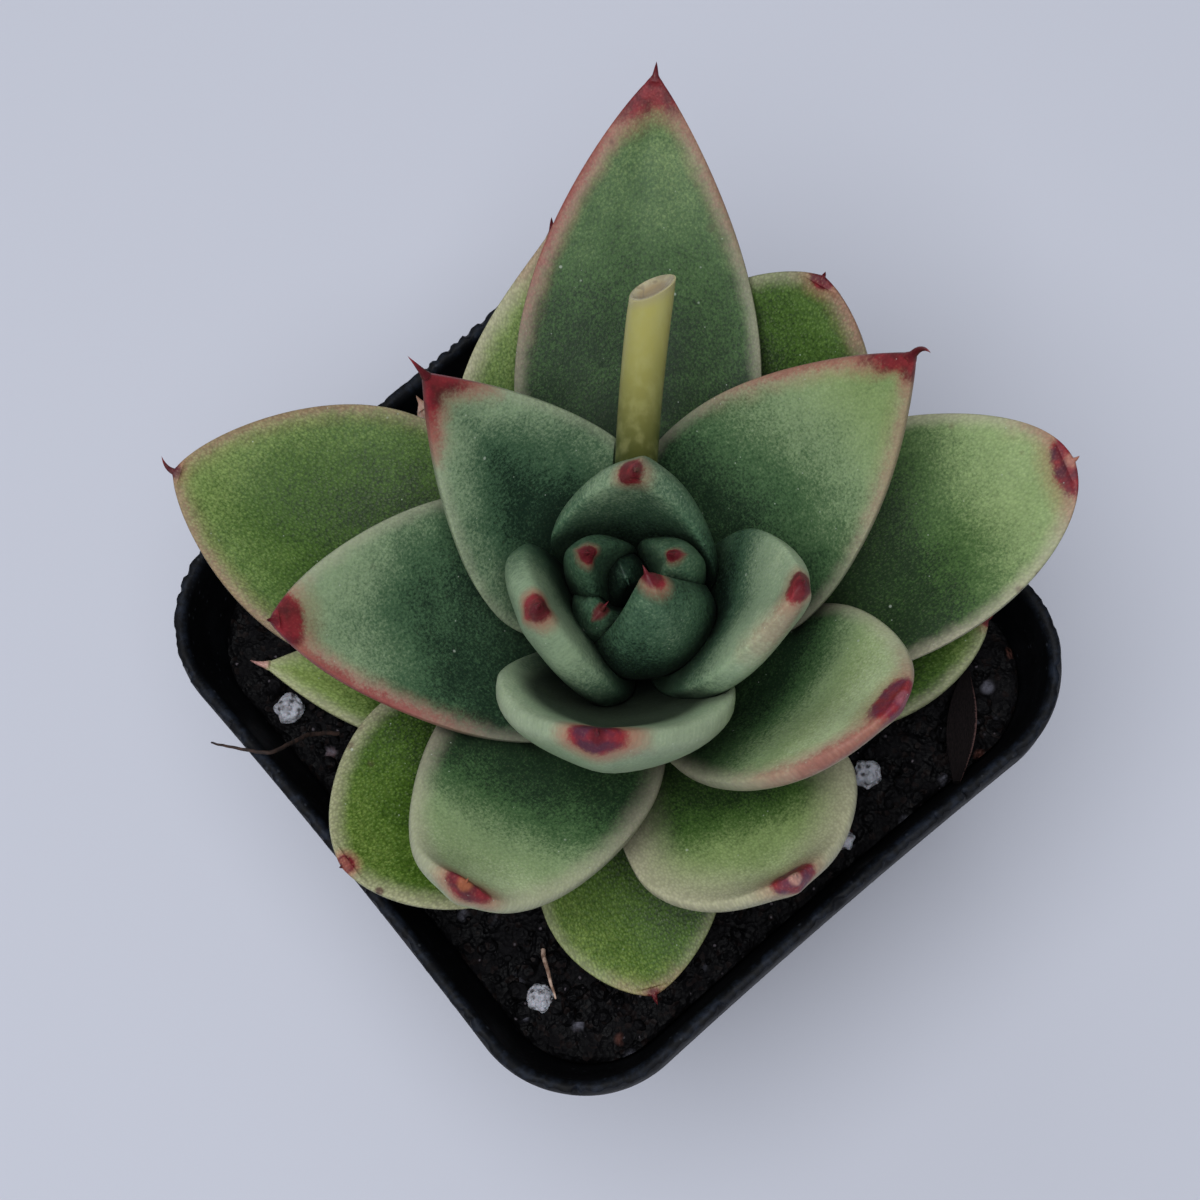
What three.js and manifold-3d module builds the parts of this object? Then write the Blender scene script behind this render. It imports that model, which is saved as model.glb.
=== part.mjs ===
// Potted ice soul echeveria: a succulent rosette in a small square nursery pot.
// Millimetres, +Z up. The origin is the middle of the pot's underside, and the
// pot's sides run along X and Y.

import * as THREE from 'three';
import { mergeVertices } from 'three/addons/utils/BufferGeometryUtils.js';
import Module from 'manifold-3d';

const wasm = await Module();
wasm.setup();

// Pot
const RIM_SIDE = 70;
const RIM_CORNER = 12;
const RIM_LIP = 1.5;
const RIM_DEPTH = 6;
const RIM_EASE = 0.4; // bevel of the lip's edges
const RIM_STEP = 0.6; // slope under the rim band
const POT_HEIGHT = 62;
const BASE_SIDE = 50;
const BASE_CORNER = 9;
const BASE_EASE = 1; // bevel round the underside
const WALL = 1.0;
const FLOOR = 1.5;
const SIDE_BOW = 0.35; // how far the soft sides sag inward at the rim
const DRAIN_RADIUS = 3.5;
const DRAIN_OFFSET = 15;

// Soil
const SOIL_TOP = 52;
const SOIL_BUMP = 0.45;
const GAP = 0.3; // clearance between touching pieces

// Stem, with the axis that the rosette grows round
const AXIS = new THREE.Vector3(2.5, -1.4, 0);
const STEM_RADIUS = 4.1;
const STEM_FOOT = 34;
const STEM_TOP = 76.5;

// Rosette: each older leaf stands one golden angle further round
const GOLDEN_ANGLE = 137.5;
const FIRST_AZIMUTH = 72;
const LOWEST_BASE = 56;
const HIGHEST_BASE = 77;
const LEAF_COUNT = 25;
const LEAF_THICKNESS = 5;
const LEAF_ENDS = 0.62; // thickness towards the base and the tip as a share of the middle's
const MUCRO_RADIUS = 0.45;
const MUCRO_RUN = 0.8; // how far before the apex the blade starts to draw in to the mucro
const LEAF_FACETS = { rings: 9, sides: 10 };
const HEART_FACETS = { rings: 7, sides: 8 };
const RING_BUNCHING = 1.35; // above 1 sets a leaf's rings closer together towards its tip
const HEART_COUNT = 8; // the small leaves in the middle of the rosette
const LEAF_CUT = 0.36; // how much a younger leaf is swollen before it dents an older one

// The leaves from the youngest out. `turn` is the base's offset from the golden angle and
// `swing` how far the tip veers from its base, in degrees; `reach` and `top` place the tip
// from the axis and the ground; `belly` is how far the midrib sags outward and `bend` where,
// `wide` where the blade is widest, and a smaller `blunt` rounds the end more. `upper` is the
// share of the thickness above the midrib, a smaller `plump` fills out the edges, and `spike`
// is the mucro's length, which curls in by `hook` and sideways by `lean`.
const HEART = { cup: 0.5, upper: 0.42, plump: 0.62 }; // the young leaves have thick round edges
const LEAVES = [
  { turn: 0, swing: 0, reach: -0.5, top: 86, width: 4.5, belly: 1.5, ...HEART },
  { turn: -20, swing: 13, reach: 4, top: 88, width: 7, belly: 2.5, ...HEART, spike: 1.2 },
  { turn: -20, swing: -2, reach: 4.5, top: 91.5, width: 7.5, belly: 2.5,
    ...HEART, blunt: 0.9, wide: 0.45 },
  { turn: -7, swing: 12, reach: 3, top: 92, width: 7, belly: 1, ...HEART, wide: 0.5 },
  { turn: -2, swing: 21, reach: 3, top: 94, width: 12, belly: 7,
    ...HEART, cup: 0.3, blunt: 0.8, wide: 0.4, thick: 5.5 },
  { turn: -3, swing: 2, reach: 7.5, top: 94, width: 15.5, belly: 3.5, ...HEART, blunt: 1.1, wide: 0.45 },
  { turn: -6, swing: 6, reach: 8.5, top: 96, width: 17, belly: 2.5,
    ...HEART, cup: 0.05, blunt: 1.1, wide: 0.4, upper: 0.4 },
  { turn: -17, swing: 10, reach: 16, top: 96, width: 16.5, belly: 0.5,
    ...HEART, cup: 0.15, blunt: 0.8, wide: 0.45, thick: 5.5, upper: 0.3 },
  { turn: 1, swing: 3, reach: 24, top: 94, width: 20, belly: 3.5,
    wide: 0.25, blunt: 1.1, neck: 0.7, spike: 2.4, hook: -0.2 },
  { turn: -5, swing: -1, reach: 16, top: 95, width: 21.5, belly: 7,
    ...HEART, cup: 0.4, blunt: 0.8, thick: 6, upper: 0.5 },
  { turn: -10, swing: -2, reach: 31.5, top: 92, width: 22.5, belly: 4.5,
    wide: 0.3, blunt: 0.95, spike: 3, lean: -0.5 },
  { turn: -3, swing: 5, reach: 32, top: 86, width: 24.5, belly: 4, wide: 0.25 },
  { turn: -6, swing: 18, reach: 27, top: 88, width: 21.5, belly: 6.5,
    blunt: 0.6, bend: 0.4, spike: 0.5, upper: 0.4, plump: 0.75 },
  { turn: -10, swing: -3, reach: 49, top: 85, width: 24, belly: 3.5, wide: 0.4, blunt: 0.85, spike: 1.3 },
  { turn: 3, swing: 3, reach: 30.5, top: 86, width: 21.5, belly: 10,
    wide: 0.4, blunt: 0.65, bend: 0.9, spike: 0.5, upper: 0.4, plump: 0.75 },
  { turn: -1, swing: 3, reach: 43, top: 78, width: 23.5, belly: 3, wide: 0.5, blunt: 0.5 },
  { turn: 10, swing: 1, reach: 46, top: 76, width: 26, belly: 4, blunt: 0.7, spike: 1.8, lean: -0.5 },
  { turn: 7, swing: 3, reach: 30, top: 78, width: 23, belly: 10.5,
    wide: 0.6, blunt: 1, bend: 0.8, spike: 0.5, upper: 0.4, plump: 0.75 },
  { turn: -6, swing: -2, reach: 36, top: 78, width: 24, belly: 4.5, wide: 0.6, blunt: 0.65 },
  { turn: 22, swing: -5, reach: 36.5, top: 72, width: 23.5, belly: 4.5,
    wide: 0.6, blunt: 0.55, spike: 0.5 },
  { turn: 8, swing: 10, reach: 34, top: 66, width: 17, belly: 3, blunt: 0.65 },
  { turn: -13, swing: -5, reach: 39, top: 74, width: 25.5, belly: 3.5, wide: 0.5, blunt: 1.1, spike: 1.3 },
  { turn: 4, swing: 11, reach: 35.5, top: 60, width: 18, belly: 2.5,
    wide: 0.65, blunt: 0.65, thick: 4.5, spike: 1.3 },
  { turn: 0, swing: 0, reach: 30, top: 64, width: 18, belly: 3 },
  { turn: 21, swing: -9, reach: 38, top: 62, width: 16, belly: 2,
    wide: 0.4, blunt: 1, thick: 4, spike: 1.3 },
];
const USUAL_LEAF = {
  wide: 0.55,
  blunt: 0.8,
  neck: 0.5,
  cup: 0.25,
  thick: LEAF_THICKNESS,
  upper: 0.28,
  plump: 0.9,
  bend: 0.55,
  spike: 0.8,
  hook: 0.5,
  lean: 0,
};

// One withered leaf is left of an older turn of the rosette
const DRY_LEAF_NUMBER = 30;
const DRY_LEAF = { turn: -2, swing: -4, reach: 31.2, top: 68, width: 12, belly: 1, cup: 0.2, thick: 2.5 };

// Cut flower stalk, which leaves the stem in the axil of the longest leaf
const STALK_RADIUS = 2.0;
const STALK_SIDES = 10;
const STALK_RINGS = 7;
const STALK_SLANT = 0.65; // rise of the cut face across the stalk
const STALK_PATH = [
  { azimuth: 48, radius: 2.5, height: 66 },
  { azimuth: 50, radius: 12.5, height: 78 },
  { azimuth: 43, radius: 24.2, height: 94 },
];

// Loose bits on the soil
const PERLITE = [
  { x: -29.3, y: 18.2, radius: 1.5 },
  { x: -28.2, y: -21.6, radius: 1.4 },
  { x: 11.5, y: -25.9, radius: 1.5 },
  { x: 5.4, y: -29.4, radius: 1.0 },
];
const THREAD_RADIUS = 0.3;
const THREAD_SIDES = 5;
const THREAD_STEPS = 9;
const ROOTLET = [
  [-27.0, 12.0, 53.3],
  [-29.6, 13.2, 55.5],
  [-32.2, 13.9, 60.5],
  [-34.0, 15.0, 62.75],
  [-35.6, 16.6, 62.5],
  [-37.2, 18.3, 61.4],
];
const STRAW = [
  [-25.0, -18.2, 52.9],
  [-25.9, -20.2, 54.4],
  [-27.0, -22.9, 54.9],
];
const HUSK = { from: [26, -24.6, 53.2], to: [17.2, -32.6, 56], width: 3, thickness: 0.8 };

const MATERIALS = {
  pot: { color: 0x1b1e23, roughness: 0.55, metalness: 0 },
  soil: { color: 0x17130f, roughness: 1, metalness: 0 },
  stem: { color: 0x6f7440, roughness: 0.8, metalness: 0 },
  innerLeaf: { color: 0x5f8a68, roughness: 0.6, metalness: 0 },
  outerLeaf: { color: 0x5f8b3c, roughness: 0.55, metalness: 0 },
  dryLeaf: { color: 0xb9ab93, roughness: 0.9, metalness: 0 },
  stalk: { color: 0xa6a055, roughness: 0.45, metalness: 0 },
  perlite: { color: 0xd9dade, roughness: 0.95, metalness: 0 },
  fibre: { color: 0x4a2f20, roughness: 0.9, metalness: 0 },
};
const OUTER_FROM = 16; // the leaves from this one out have lost their bloom

const UP = new THREE.Vector3(0, 0, 1);

const rad = (degrees) => THREE.MathUtils.degToRad(degrees);

const lerp = THREE.MathUtils.lerp;

// A point on a level circle round the rosette's axis
function aroundAxis(azimuth, radius, height) {
  const x = AXIS.x + radius * Math.cos(rad(azimuth));
  const y = AXIS.y + radius * Math.sin(rad(azimuth));
  return new THREE.Vector3(x, y, height);
}

// A closed solid through a stack of rings with equal numbers of points
function ringSolid(rings) {
  const count = rings[0].length;
  const points = rings.flat();
  const index = [];
  for (let i = 0; i + 1 < rings.length; i++) {
    for (let j = 0; j < count; j++) {
      const a = i * count + j;
      const b = i * count + (j + 1) % count;
      index.push(a, b, b + count, a, b + count, a + count);
    }
  }
  const middle = (ring) => ring.reduce((sum, p) => sum.add(p), new THREE.Vector3()).divideScalar(count);
  const first = points.push(middle(rings[0])) - 1;
  const last = points.push(middle(rings.at(-1))) - 1;
  const top = (rings.length - 1) * count;
  for (let j = 0; j < count; j++) {
    const next = (j + 1) % count;
    index.push(first, next, j, last, top + j, top + next);
  }
  const geometry = new THREE.BufferGeometry().setFromPoints(points);
  geometry.setIndex(index);
  return geometry;
}

function toManifold(geometry) {
  const bare = geometry.clone();
  bare.deleteAttribute('normal');
  bare.deleteAttribute('uv');
  const merged = mergeVertices(bare, 1e-4);
  const mesh = new wasm.Mesh({
    numProp: 3,
    vertProperties: new Float32Array(merged.attributes.position.array),
    triVerts: new Uint32Array(merged.index.array),
  });
  mesh.merge();
  return new wasm.Manifold(mesh);
}

function toGeometry(solid) {
  const mesh = solid.getMesh();
  const geometry = new THREE.BufferGeometry();
  geometry.setAttribute('position', new THREE.BufferAttribute(new Float32Array(mesh.vertProperties), 3));
  geometry.setIndex([...mesh.triVerts]);
  return geometry;
}

function largestBody(solid) {
  return solid.decompose().reduce((best, body) => (body.volume() > best.volume() ? body : best));
}

// Outline of a square with round corners whose sides sag inward by `bow`
function roundedSquare(half, corner, height, bow = 0) {
  const arcSteps = 4;
  const sideSteps = 4;
  const ring = [];
  const flat = half - corner;
  for (let quarter = 0; quarter < 4; quarter++) {
    const turn = quarter * Math.PI / 2;
    const place = (x, y) => ring.push(new THREE.Vector3(x, y, height).applyAxisAngle(UP, turn));
    for (let i = 0; i <= arcSteps; i++) {
      const angle = i / arcSteps * Math.PI / 2;
      place(flat + corner * Math.cos(angle), flat + corner * Math.sin(angle));
    }
    for (let i = 1; i < sideSteps; i++) {
      const along = lerp(flat, -flat, i / sideSteps);
      place(along, half - bow * (1 - (along / flat) ** 2));
    }
  }
  return ring;
}

// One level of the pot's taper, `inset` inside its outer face
function potRing(height, inset) {
  const wallTop = POT_HEIGHT - RIM_DEPTH;
  const level = height / wallTop;
  const half = lerp(BASE_SIDE / 2, RIM_SIDE / 2 - RIM_LIP + WALL / 2, level) - inset;
  const corner = lerp(BASE_CORNER, RIM_CORNER - RIM_LIP + WALL / 2, level) - inset;
  return roundedSquare(half, corner, height, SIDE_BOW * level);
}

function potGeometry() {
  const wallTop = POT_HEIGHT - RIM_DEPTH;
  const rim = (inset, height) => roundedSquare(RIM_SIDE / 2 - inset, RIM_CORNER - inset, height, SIDE_BOW);
  const shell = ringSolid([
    roundedSquare(BASE_SIDE / 2 - BASE_EASE, BASE_CORNER - BASE_EASE, 0),
    potRing(BASE_EASE, 0),
    potRing(wallTop / 2, 0),
    potRing(wallTop, 0),
    rim(0, wallTop + RIM_STEP),
    rim(0, POT_HEIGHT - RIM_EASE),
    rim(RIM_EASE, POT_HEIGHT),
    rim(RIM_LIP - RIM_EASE, POT_HEIGHT),
    rim(RIM_LIP, POT_HEIGHT - RIM_EASE),
    potRing(wallTop, WALL),
    potRing(wallTop / 2, WALL),
    potRing(FLOOR, WALL),
  ]);
  let pot = toManifold(shell);
  for (const x of [-DRAIN_OFFSET, DRAIN_OFFSET]) {
    for (const y of [-DRAIN_OFFSET, DRAIN_OFFSET]) {
      const drill = new THREE.CylinderGeometry(DRAIN_RADIUS, DRAIN_RADIUS, 3 * FLOOR, 12);
      drill.rotateX(Math.PI / 2).translate(x, y, FLOOR / 2);
      pot = pot.subtract(toManifold(drill));
    }
  }
  return toGeometry(pot);
}

// Crumbly surface of the potting mix
function soilHeight(x, y) {
  const coarse = Math.sin(0.55 * x + 1.2 * Math.sin(0.4 * y)) * Math.cos(0.6 * y + 0.7);
  const fine = Math.sin(1.9 * x + 0.5) * Math.sin(2.3 * y + 0.3 * x);
  return SOIL_TOP + SOIL_BUMP * (coarse + fine) / 2;
}

function stemRings(grow) {
  const profile = [
    [0.5, STEM_FOOT],
    [0.8, STEM_FOOT + 3],
    [0.95, SOIL_TOP - 4],
    [1, 62],
    [0.9, 67],
    [0.6, 72],
    [0.25, STEM_TOP - 0.5],
    [0.12, STEM_TOP],
  ];
  const sides = 12;
  const ring = ([share, height]) => Array.from({ length: sides }, (_, i) =>
    aroundAxis(i * 360 / sides, share * STEM_RADIUS + grow, height));
  const rings = profile.map(ring);
  rings[0].forEach((p) => { p.z -= grow; });
  rings.at(-1).forEach((p) => { p.z += grow; });
  return rings;
}

function stalkCurve() {
  const [foot, bend, end] = STALK_PATH.map((p) => aroundAxis(p.azimuth, p.radius, p.height));
  return new THREE.QuadraticBezierCurve3(foot, bend, end);
}

// The stalk's rings stand square to its path, apart from the slanted cut at the end
function stalkRings(grow) {
  const path = stalkCurve();
  const rings = [];
  for (let i = 0; i < STALK_RINGS; i++) {
    const t = i / (STALK_RINGS - 1);
    const centre = path.getPointAt(t);
    const along = path.getTangentAt(t);
    const across = new THREE.Vector3().crossVectors(UP, along).normalize();
    const over = new THREE.Vector3().crossVectors(along, across);
    const slant = -STALK_SLANT * t ** 4;
    const ring = [];
    for (let j = 0; j < STALK_SIDES; j++) {
      const angle = j / STALK_SIDES * 2 * Math.PI;
      const side = (STALK_RADIUS + grow) * Math.cos(angle);
      const rise = (STALK_RADIUS + grow) * Math.sin(angle);
      const point = centre.clone().addScaledVector(across, side).addScaledVector(over, rise);
      ring.push(point.addScaledVector(along, slant * side + (t === 1 ? grow : 0)));
    }
    rings.push(ring);
  }
  return rings;
}

const baseAzimuth = (number, leaf) => FIRST_AZIMUTH + GOLDEN_ANGLE * (number - 1) + leaf.turn;

function baseHeight(number) {
  const young = Math.max(0, (LEAF_COUNT - number) / (LEAF_COUNT - 1));
  return lerp(LOWEST_BASE, HIGHEST_BASE, young ** 1.3);
}

const baseRadius = (number) => Math.min(4.4, 1 + 0.35 * (number - 1));

// The midrib runs from the stem to the apex in an arc that sags outward, and then on into
// the mucro, the small hooked point that ends the leaf
function leafSpine(number, leaf) {
  const azimuth = rad(baseAzimuth(number, leaf));
  const outward = new THREE.Vector3(Math.cos(azimuth), Math.sin(azimuth), 0);
  const sideways = new THREE.Vector3(-Math.sin(azimuth), Math.cos(azimuth), 0);
  const out = leaf.reach * Math.cos(rad(leaf.swing));
  const side = leaf.reach * Math.sin(rad(leaf.swing));
  const r0 = baseRadius(number);
  const z0 = number > LEAF_COUNT ? LOWEST_BASE + 1 : baseHeight(number);
  const length = Math.hypot(out - r0, leaf.top - z0);
  const sagOut = (leaf.top - z0) / length * leaf.belly;
  const sagDown = (out - r0) / length * leaf.belly;
  const place = (r, s, z) => AXIS.clone().addScaledVector(outward, r).addScaledVector(sideways, s).setZ(z);
  const foot = place(r0, 0, z0);
  const bend = place(lerp(r0, out, leaf.bend) + sagOut, 0, lerp(z0, leaf.top, leaf.bend) - sagDown);
  const apex = place(out, side, leaf.top);
  const ahead = apex.clone().sub(bend).normalize();
  const level = sideways.clone().addScaledVector(ahead, -sideways.dot(ahead)).normalize();
  const inward = new THREE.Vector3().crossVectors(ahead, level);
  const half = apex.clone().addScaledVector(ahead, leaf.spike / 2);
  const point = apex.clone().addScaledVector(ahead, leaf.spike);
  point.addScaledVector(inward, leaf.spike * leaf.hook).addScaledVector(level, leaf.spike * leaf.lean);
  const blade = new THREE.QuadraticBezierCurve3(foot, bend, apex);
  const path = new THREE.CurvePath();
  path.add(blade);
  path.add(new THREE.QuadraticBezierCurve3(apex, half, point));
  return { path, sideways, bladeLength: blade.getLength(), total: path.getLength() };
}

// Half the blade's width as a share of its greatest, `s` along it from the base
function bladeShare(s, { wide, blunt, neck }) {
  if (s <= wide) return lerp(neck, 1, Math.sin(Math.PI / 2 * s / wide));
  return Math.max(0, Math.cos(Math.PI / 2 * (s - wide) / (1 - wide))) ** blunt;
}

const blend = (a, b) => Math.cbrt(a ** 3 + b ** 3);

// A leaf's rings: thicker below than above, and cupped upward along both edges
function leafRings(number, shape, grow = 0) {
  const leaf = { ...USUAL_LEAF, ...shape };
  const { path, sideways, bladeLength, total } = leafSpine(number, leaf);
  const facets = number > HEART_COUNT ? LEAF_FACETS : HEART_FACETS;
  const stations = Array.from({ length: facets.rings }, (_, i) =>
    bladeLength * (1 - (1 - i / facets.rings) ** RING_BUNCHING));
  for (const share of [0, 0.5, 0.98]) stations.push(lerp(bladeLength, total, share));
  const tipStart = bladeLength - MUCRO_RUN;
  return stations.map((station, i) => {
    const centre = path.getPoint(station / total);
    const behind = path.getPoint(Math.max(0, station - 0.25) / total);
    const along = path.getPoint(Math.min(total, station + 0.25) / total).sub(behind).normalize();
    const across = sideways.clone().addScaledVector(along, -sideways.dot(along)).normalize();
    const inward = new THREE.Vector3().crossVectors(along, across);
    const s = Math.min(1, station / bladeLength);
    const spike = MUCRO_RADIUS * THREE.MathUtils.clamp((total - station) / (total - tipStart), 0, 1);
    const point = station > tipStart ? spike : 0;
    const half = blend(bladeShare(s, leaf) * leaf.width / 2, point) + grow;
    const depth = leaf.thick * lerp(LEAF_ENDS, 1, Math.sin(Math.PI * s ** 0.8)) * Math.sqrt(1 - s ** 5);
    const below = blend((1 - leaf.upper) * depth, point) + grow;
    const above = blend(leaf.upper * depth, point) + grow;
    const plump = lerp(leaf.plump, 1, THREE.MathUtils.smoothstep(station, tipStart, bladeLength));
    const cup = leaf.cup * half * (1 - 0.75 * THREE.MathUtils.smoothstep(s, 0.5, 1));
    if (i === 0) centre.addScaledVector(along, -grow);
    if (i === stations.length - 1) centre.addScaledVector(along, grow);
    return Array.from({ length: facets.sides }, (_, j) => {
      const angle = j / facets.sides * 2 * Math.PI;
      const x = half * Math.cos(angle);
      const rise = Math.sign(Math.sin(angle)) * Math.abs(Math.sin(angle)) ** plump;
      const lift = cup * Math.cos(angle) ** 2 + (j * 2 < facets.sides ? above : below) * rise;
      return centre.clone().addScaledVector(across, x).addScaledVector(inward, lift);
    });
  });
}

function perliteGeometry({ x, y, radius }, grow = 0) {
  const grain = new THREE.IcosahedronGeometry(radius + grow, 1);
  const position = grain.attributes.position;
  const p = new THREE.Vector3();
  for (let i = 0; i < position.count; i++) {
    p.fromBufferAttribute(position, i);
    const n = p.clone().normalize();
    p.addScaledVector(n, 0.12 * radius * Math.sin(4 * n.x + x) * Math.cos(5 * n.y + y));
    position.setXYZ(i, p.x, p.y, p.z);
  }
  return grain.translate(x, y, SOIL_TOP + 0.35 * radius);
}

function soilGeometry() {
  const side = (height) => potRing(height, WALL + GAP);
  const lowest = side(FLOOR + GAP);
  const crest = side(SOIL_TOP - SOIL_BUMP);
  const rings = [lowest, side(SOIL_TOP / 2), crest];
  for (const share of [0.95, 0.84, 0.72, 0.58, 0.42, 0.24]) {
    const inner = crest.map(({ x, y }) => [x * share, y * share]);
    rings.push(inner.map(([x, y]) => new THREE.Vector3(x, y, soilHeight(x, y))));
  }
  let soil = toManifold(ringSolid(rings)).subtract(toManifold(ringSolid(stemRings(GAP))));
  for (const grain of PERLITE) soil = soil.subtract(toManifold(perliteGeometry(grain, GAP + 0.05)));
  return toGeometry(largestBody(soil));
}

// A thin root or straw laid along its points
function threadGeometry(points) {
  const section = new THREE.Shape().absarc(0, 0, THREAD_RADIUS, 0, 2 * Math.PI);
  const path = new THREE.CatmullRomCurve3(points.map((p) => new THREE.Vector3(...p)));
  return new THREE.ExtrudeGeometry(section, {
    steps: THREAD_STEPS,
    curveSegments: THREAD_SIDES,
    extrudePath: path,
  });
}

// A withered, spindle-shaped scrap of old leaf on the soil
function huskGeometry() {
  const from = new THREE.Vector3(...HUSK.from);
  const to = new THREE.Vector3(...HUSK.to);
  const along = to.clone().sub(from).normalize();
  const across = new THREE.Vector3().crossVectors(UP, along).normalize();
  const over = new THREE.Vector3().crossVectors(along, across);
  const rings = [];
  for (const t of [0, 0.15, 0.35, 0.6, 0.85, 1]) {
    const half = HUSK.width / 2 * (0.25 + 0.75 * Math.sin(Math.PI * t));
    const ring = [];
    for (let j = 0; j < 8; j++) {
      const angle = j / 8 * 2 * Math.PI;
      const lift = HUSK.thickness / 2 * Math.sin(angle) + 0.25 * half * Math.cos(angle) ** 2;
      const centre = from.clone().lerp(to, t);
      ring.push(centre.addScaledVector(across, half * Math.cos(angle)).addScaledVector(over, lift));
    }
    rings.push(ring);
  }
  return ringSolid(rings);
}

// The youngest leaf keeps its whole shape, and each older one gives way to those inside it
function rosette() {
  const stem = toManifold(ringSolid(stemRings(GAP)));
  const stalk = toManifold(ringSolid(stalkRings(GAP)));
  const inside = [stem, stalk];
  const pieces = [];
  const named = (number) => `leaf_${String(number).padStart(2, '0')}`;
  const grown = LEAVES.map((leaf, i) => ({ name: named(i + 1), number: i + 1, leaf }));
  grown.push({ name: 'dry_leaf', number: DRY_LEAF_NUMBER, leaf: DRY_LEAF });
  for (const { name, number, leaf } of grown) {
    let body = toManifold(ringSolid(leafRings(number, leaf)));
    for (const other of inside) body = body.subtract(other);
    pieces.push({ name, number, geometry: toGeometry(largestBody(body)) });
    inside.push(toManifold(ringSolid(leafRings(number, leaf, LEAF_CUT))));
  }
  return pieces;
}

function flowerStalk() {
  const stem = toManifold(ringSolid(stemRings(GAP)));
  return toGeometry(largestBody(toManifold(ringSolid(stalkRings(0))).subtract(stem)));
}

const plant = new THREE.Group();

function addPiece(name, geometry, look) {
  geometry.computeVertexNormals();
  const mesh = new THREE.Mesh(geometry, new THREE.MeshStandardMaterial(MATERIALS[look]));
  mesh.name = name;
  plant.add(mesh);
}

function leafLook(number) {
  if (number === DRY_LEAF_NUMBER) return 'dryLeaf';
  return number < OUTER_FROM ? 'innerLeaf' : 'outerLeaf';
}

addPiece('pot', potGeometry(), 'pot');
addPiece('soil', soilGeometry(), 'soil');
addPiece('stem', ringSolid(stemRings(0)), 'stem');
for (const { name, number, geometry } of rosette()) addPiece(name, geometry, leafLook(number));
addPiece('flower_stalk', flowerStalk(), 'stalk');
PERLITE.forEach((grain, i) => addPiece(`perlite_${i + 1}`, perliteGeometry(grain), 'perlite'));
addPiece('rootlet', threadGeometry(ROOTLET), 'fibre');
addPiece('straw', threadGeometry(STRAW), 'fibre');
addPiece('husk', huskGeometry(), 'fibre');

export default plant;
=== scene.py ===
"""Looks of the potted ice soul echeveria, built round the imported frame. Lengths are in
millimetres and angles in degrees until a mesh is made."""
import math

import bmesh
import bpy
import numpy as np
from mathutils import Matrix, Vector, noise
from mathutils.bvhtree import BVHTree


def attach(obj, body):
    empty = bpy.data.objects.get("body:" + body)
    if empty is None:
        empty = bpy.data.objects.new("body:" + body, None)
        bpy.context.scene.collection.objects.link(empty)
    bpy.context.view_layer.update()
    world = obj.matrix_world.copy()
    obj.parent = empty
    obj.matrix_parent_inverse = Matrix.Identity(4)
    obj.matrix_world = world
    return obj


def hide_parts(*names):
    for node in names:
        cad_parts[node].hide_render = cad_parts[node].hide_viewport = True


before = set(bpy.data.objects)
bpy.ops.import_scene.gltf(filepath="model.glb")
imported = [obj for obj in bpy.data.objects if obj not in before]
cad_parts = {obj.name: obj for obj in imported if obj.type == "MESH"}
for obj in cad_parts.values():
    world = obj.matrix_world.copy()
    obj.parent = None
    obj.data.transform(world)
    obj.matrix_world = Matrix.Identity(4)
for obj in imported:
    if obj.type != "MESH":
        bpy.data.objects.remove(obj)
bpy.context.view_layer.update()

MM = 0.001

# Pot
RIM_SIDE, RIM_CORNER, RIM_LIP, RIM_DEPTH, RIM_EASE, RIM_STEP = 70, 12, 1.5, 6, 0.4, 0.6
POT_HEIGHT, BASE_SIDE, BASE_CORNER, BASE_EASE = 62, 50, 9, 1
WALL, FLOOR, SIDE_BOW, DRAIN_RADIUS, DRAIN_OFFSET = 1.0, 1.5, 0.35, 3.5, 15
ARC_STEPS, SIDE_STEPS = 40, 112
WALL_TOP, TEETH_LEAST, TEETH, NICKS = POT_HEIGHT - RIM_DEPTH, 0.05, 0.2, 0.8

# Soil and stem
SOIL_TOP, SOIL_BUMP, GAP = 52, 0.45, 0.3
CRUMBS, CRUMB_LEAST, CRUMB_SPREAD, CRUMB_LARGE, STEM_CLEARANCE = 1500, 0.28, 0.9, 0.75, 7
AXIS = np.array([2.5, -1.4, 0.0])
STEM_RADIUS, STEM_SCARS = 4.1, 0.35
STEM_PROFILE = [(0.5, 34), (0.8, 37), (0.95, 48), (1, 62), (0.9, 67), (0.6, 72), (0.25, 76), (0.12, 76.5)]

# Rosette
GOLDEN_ANGLE, FIRST_AZIMUTH, LOWEST_BASE, HIGHEST_BASE = 137.5, 72, 56, 77
LEAF_COUNT, INNER_LEAVES, HEART_LEAVES = 25, 15, 6
LEAF_THICKNESS, LEAF_ENDS, LEAF_CUT = 5, 0.62, 0.12
FOOT_LEAST, FOOT_STEP, FOOT_MOST = 1, 0.35, 4.4
MUCRO_RADIUS, MUCRO_RUN, MUCRO_SEEN = 0.45, 0.8, 0.985
# Depth and width of the channel on a leaf's upper face and of the keel under its tip, and the
# height of the slow ripple over both faces
CHANNEL, KEEL, RIPPLE = (0.3, 0.32), (0.35, 0.3), 0.45
BLADE_STEPS, MUCRO_STEPS, RING_BUNCHING, DRY_LEAF_NUMBER = 161, 25, 1.35, 30
INSET = 0.01  # keeps the fine leaves inside the plain ones
# Rings on the blade and the mucro and points round each: to show, to cut with, for openness
FINE_GRID, CUT_GRID, OPEN_GRID = (76, 9, 56), (44, 5, 36), (38, 5, 24)
OPEN_RAYS, OPEN_START, OPEN_REACH = 24, 0.25, 26

# The young leaves are plump, with thick round edges
HEART = dict(cup=0.5, upper=0.42, plump=0.62)

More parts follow.
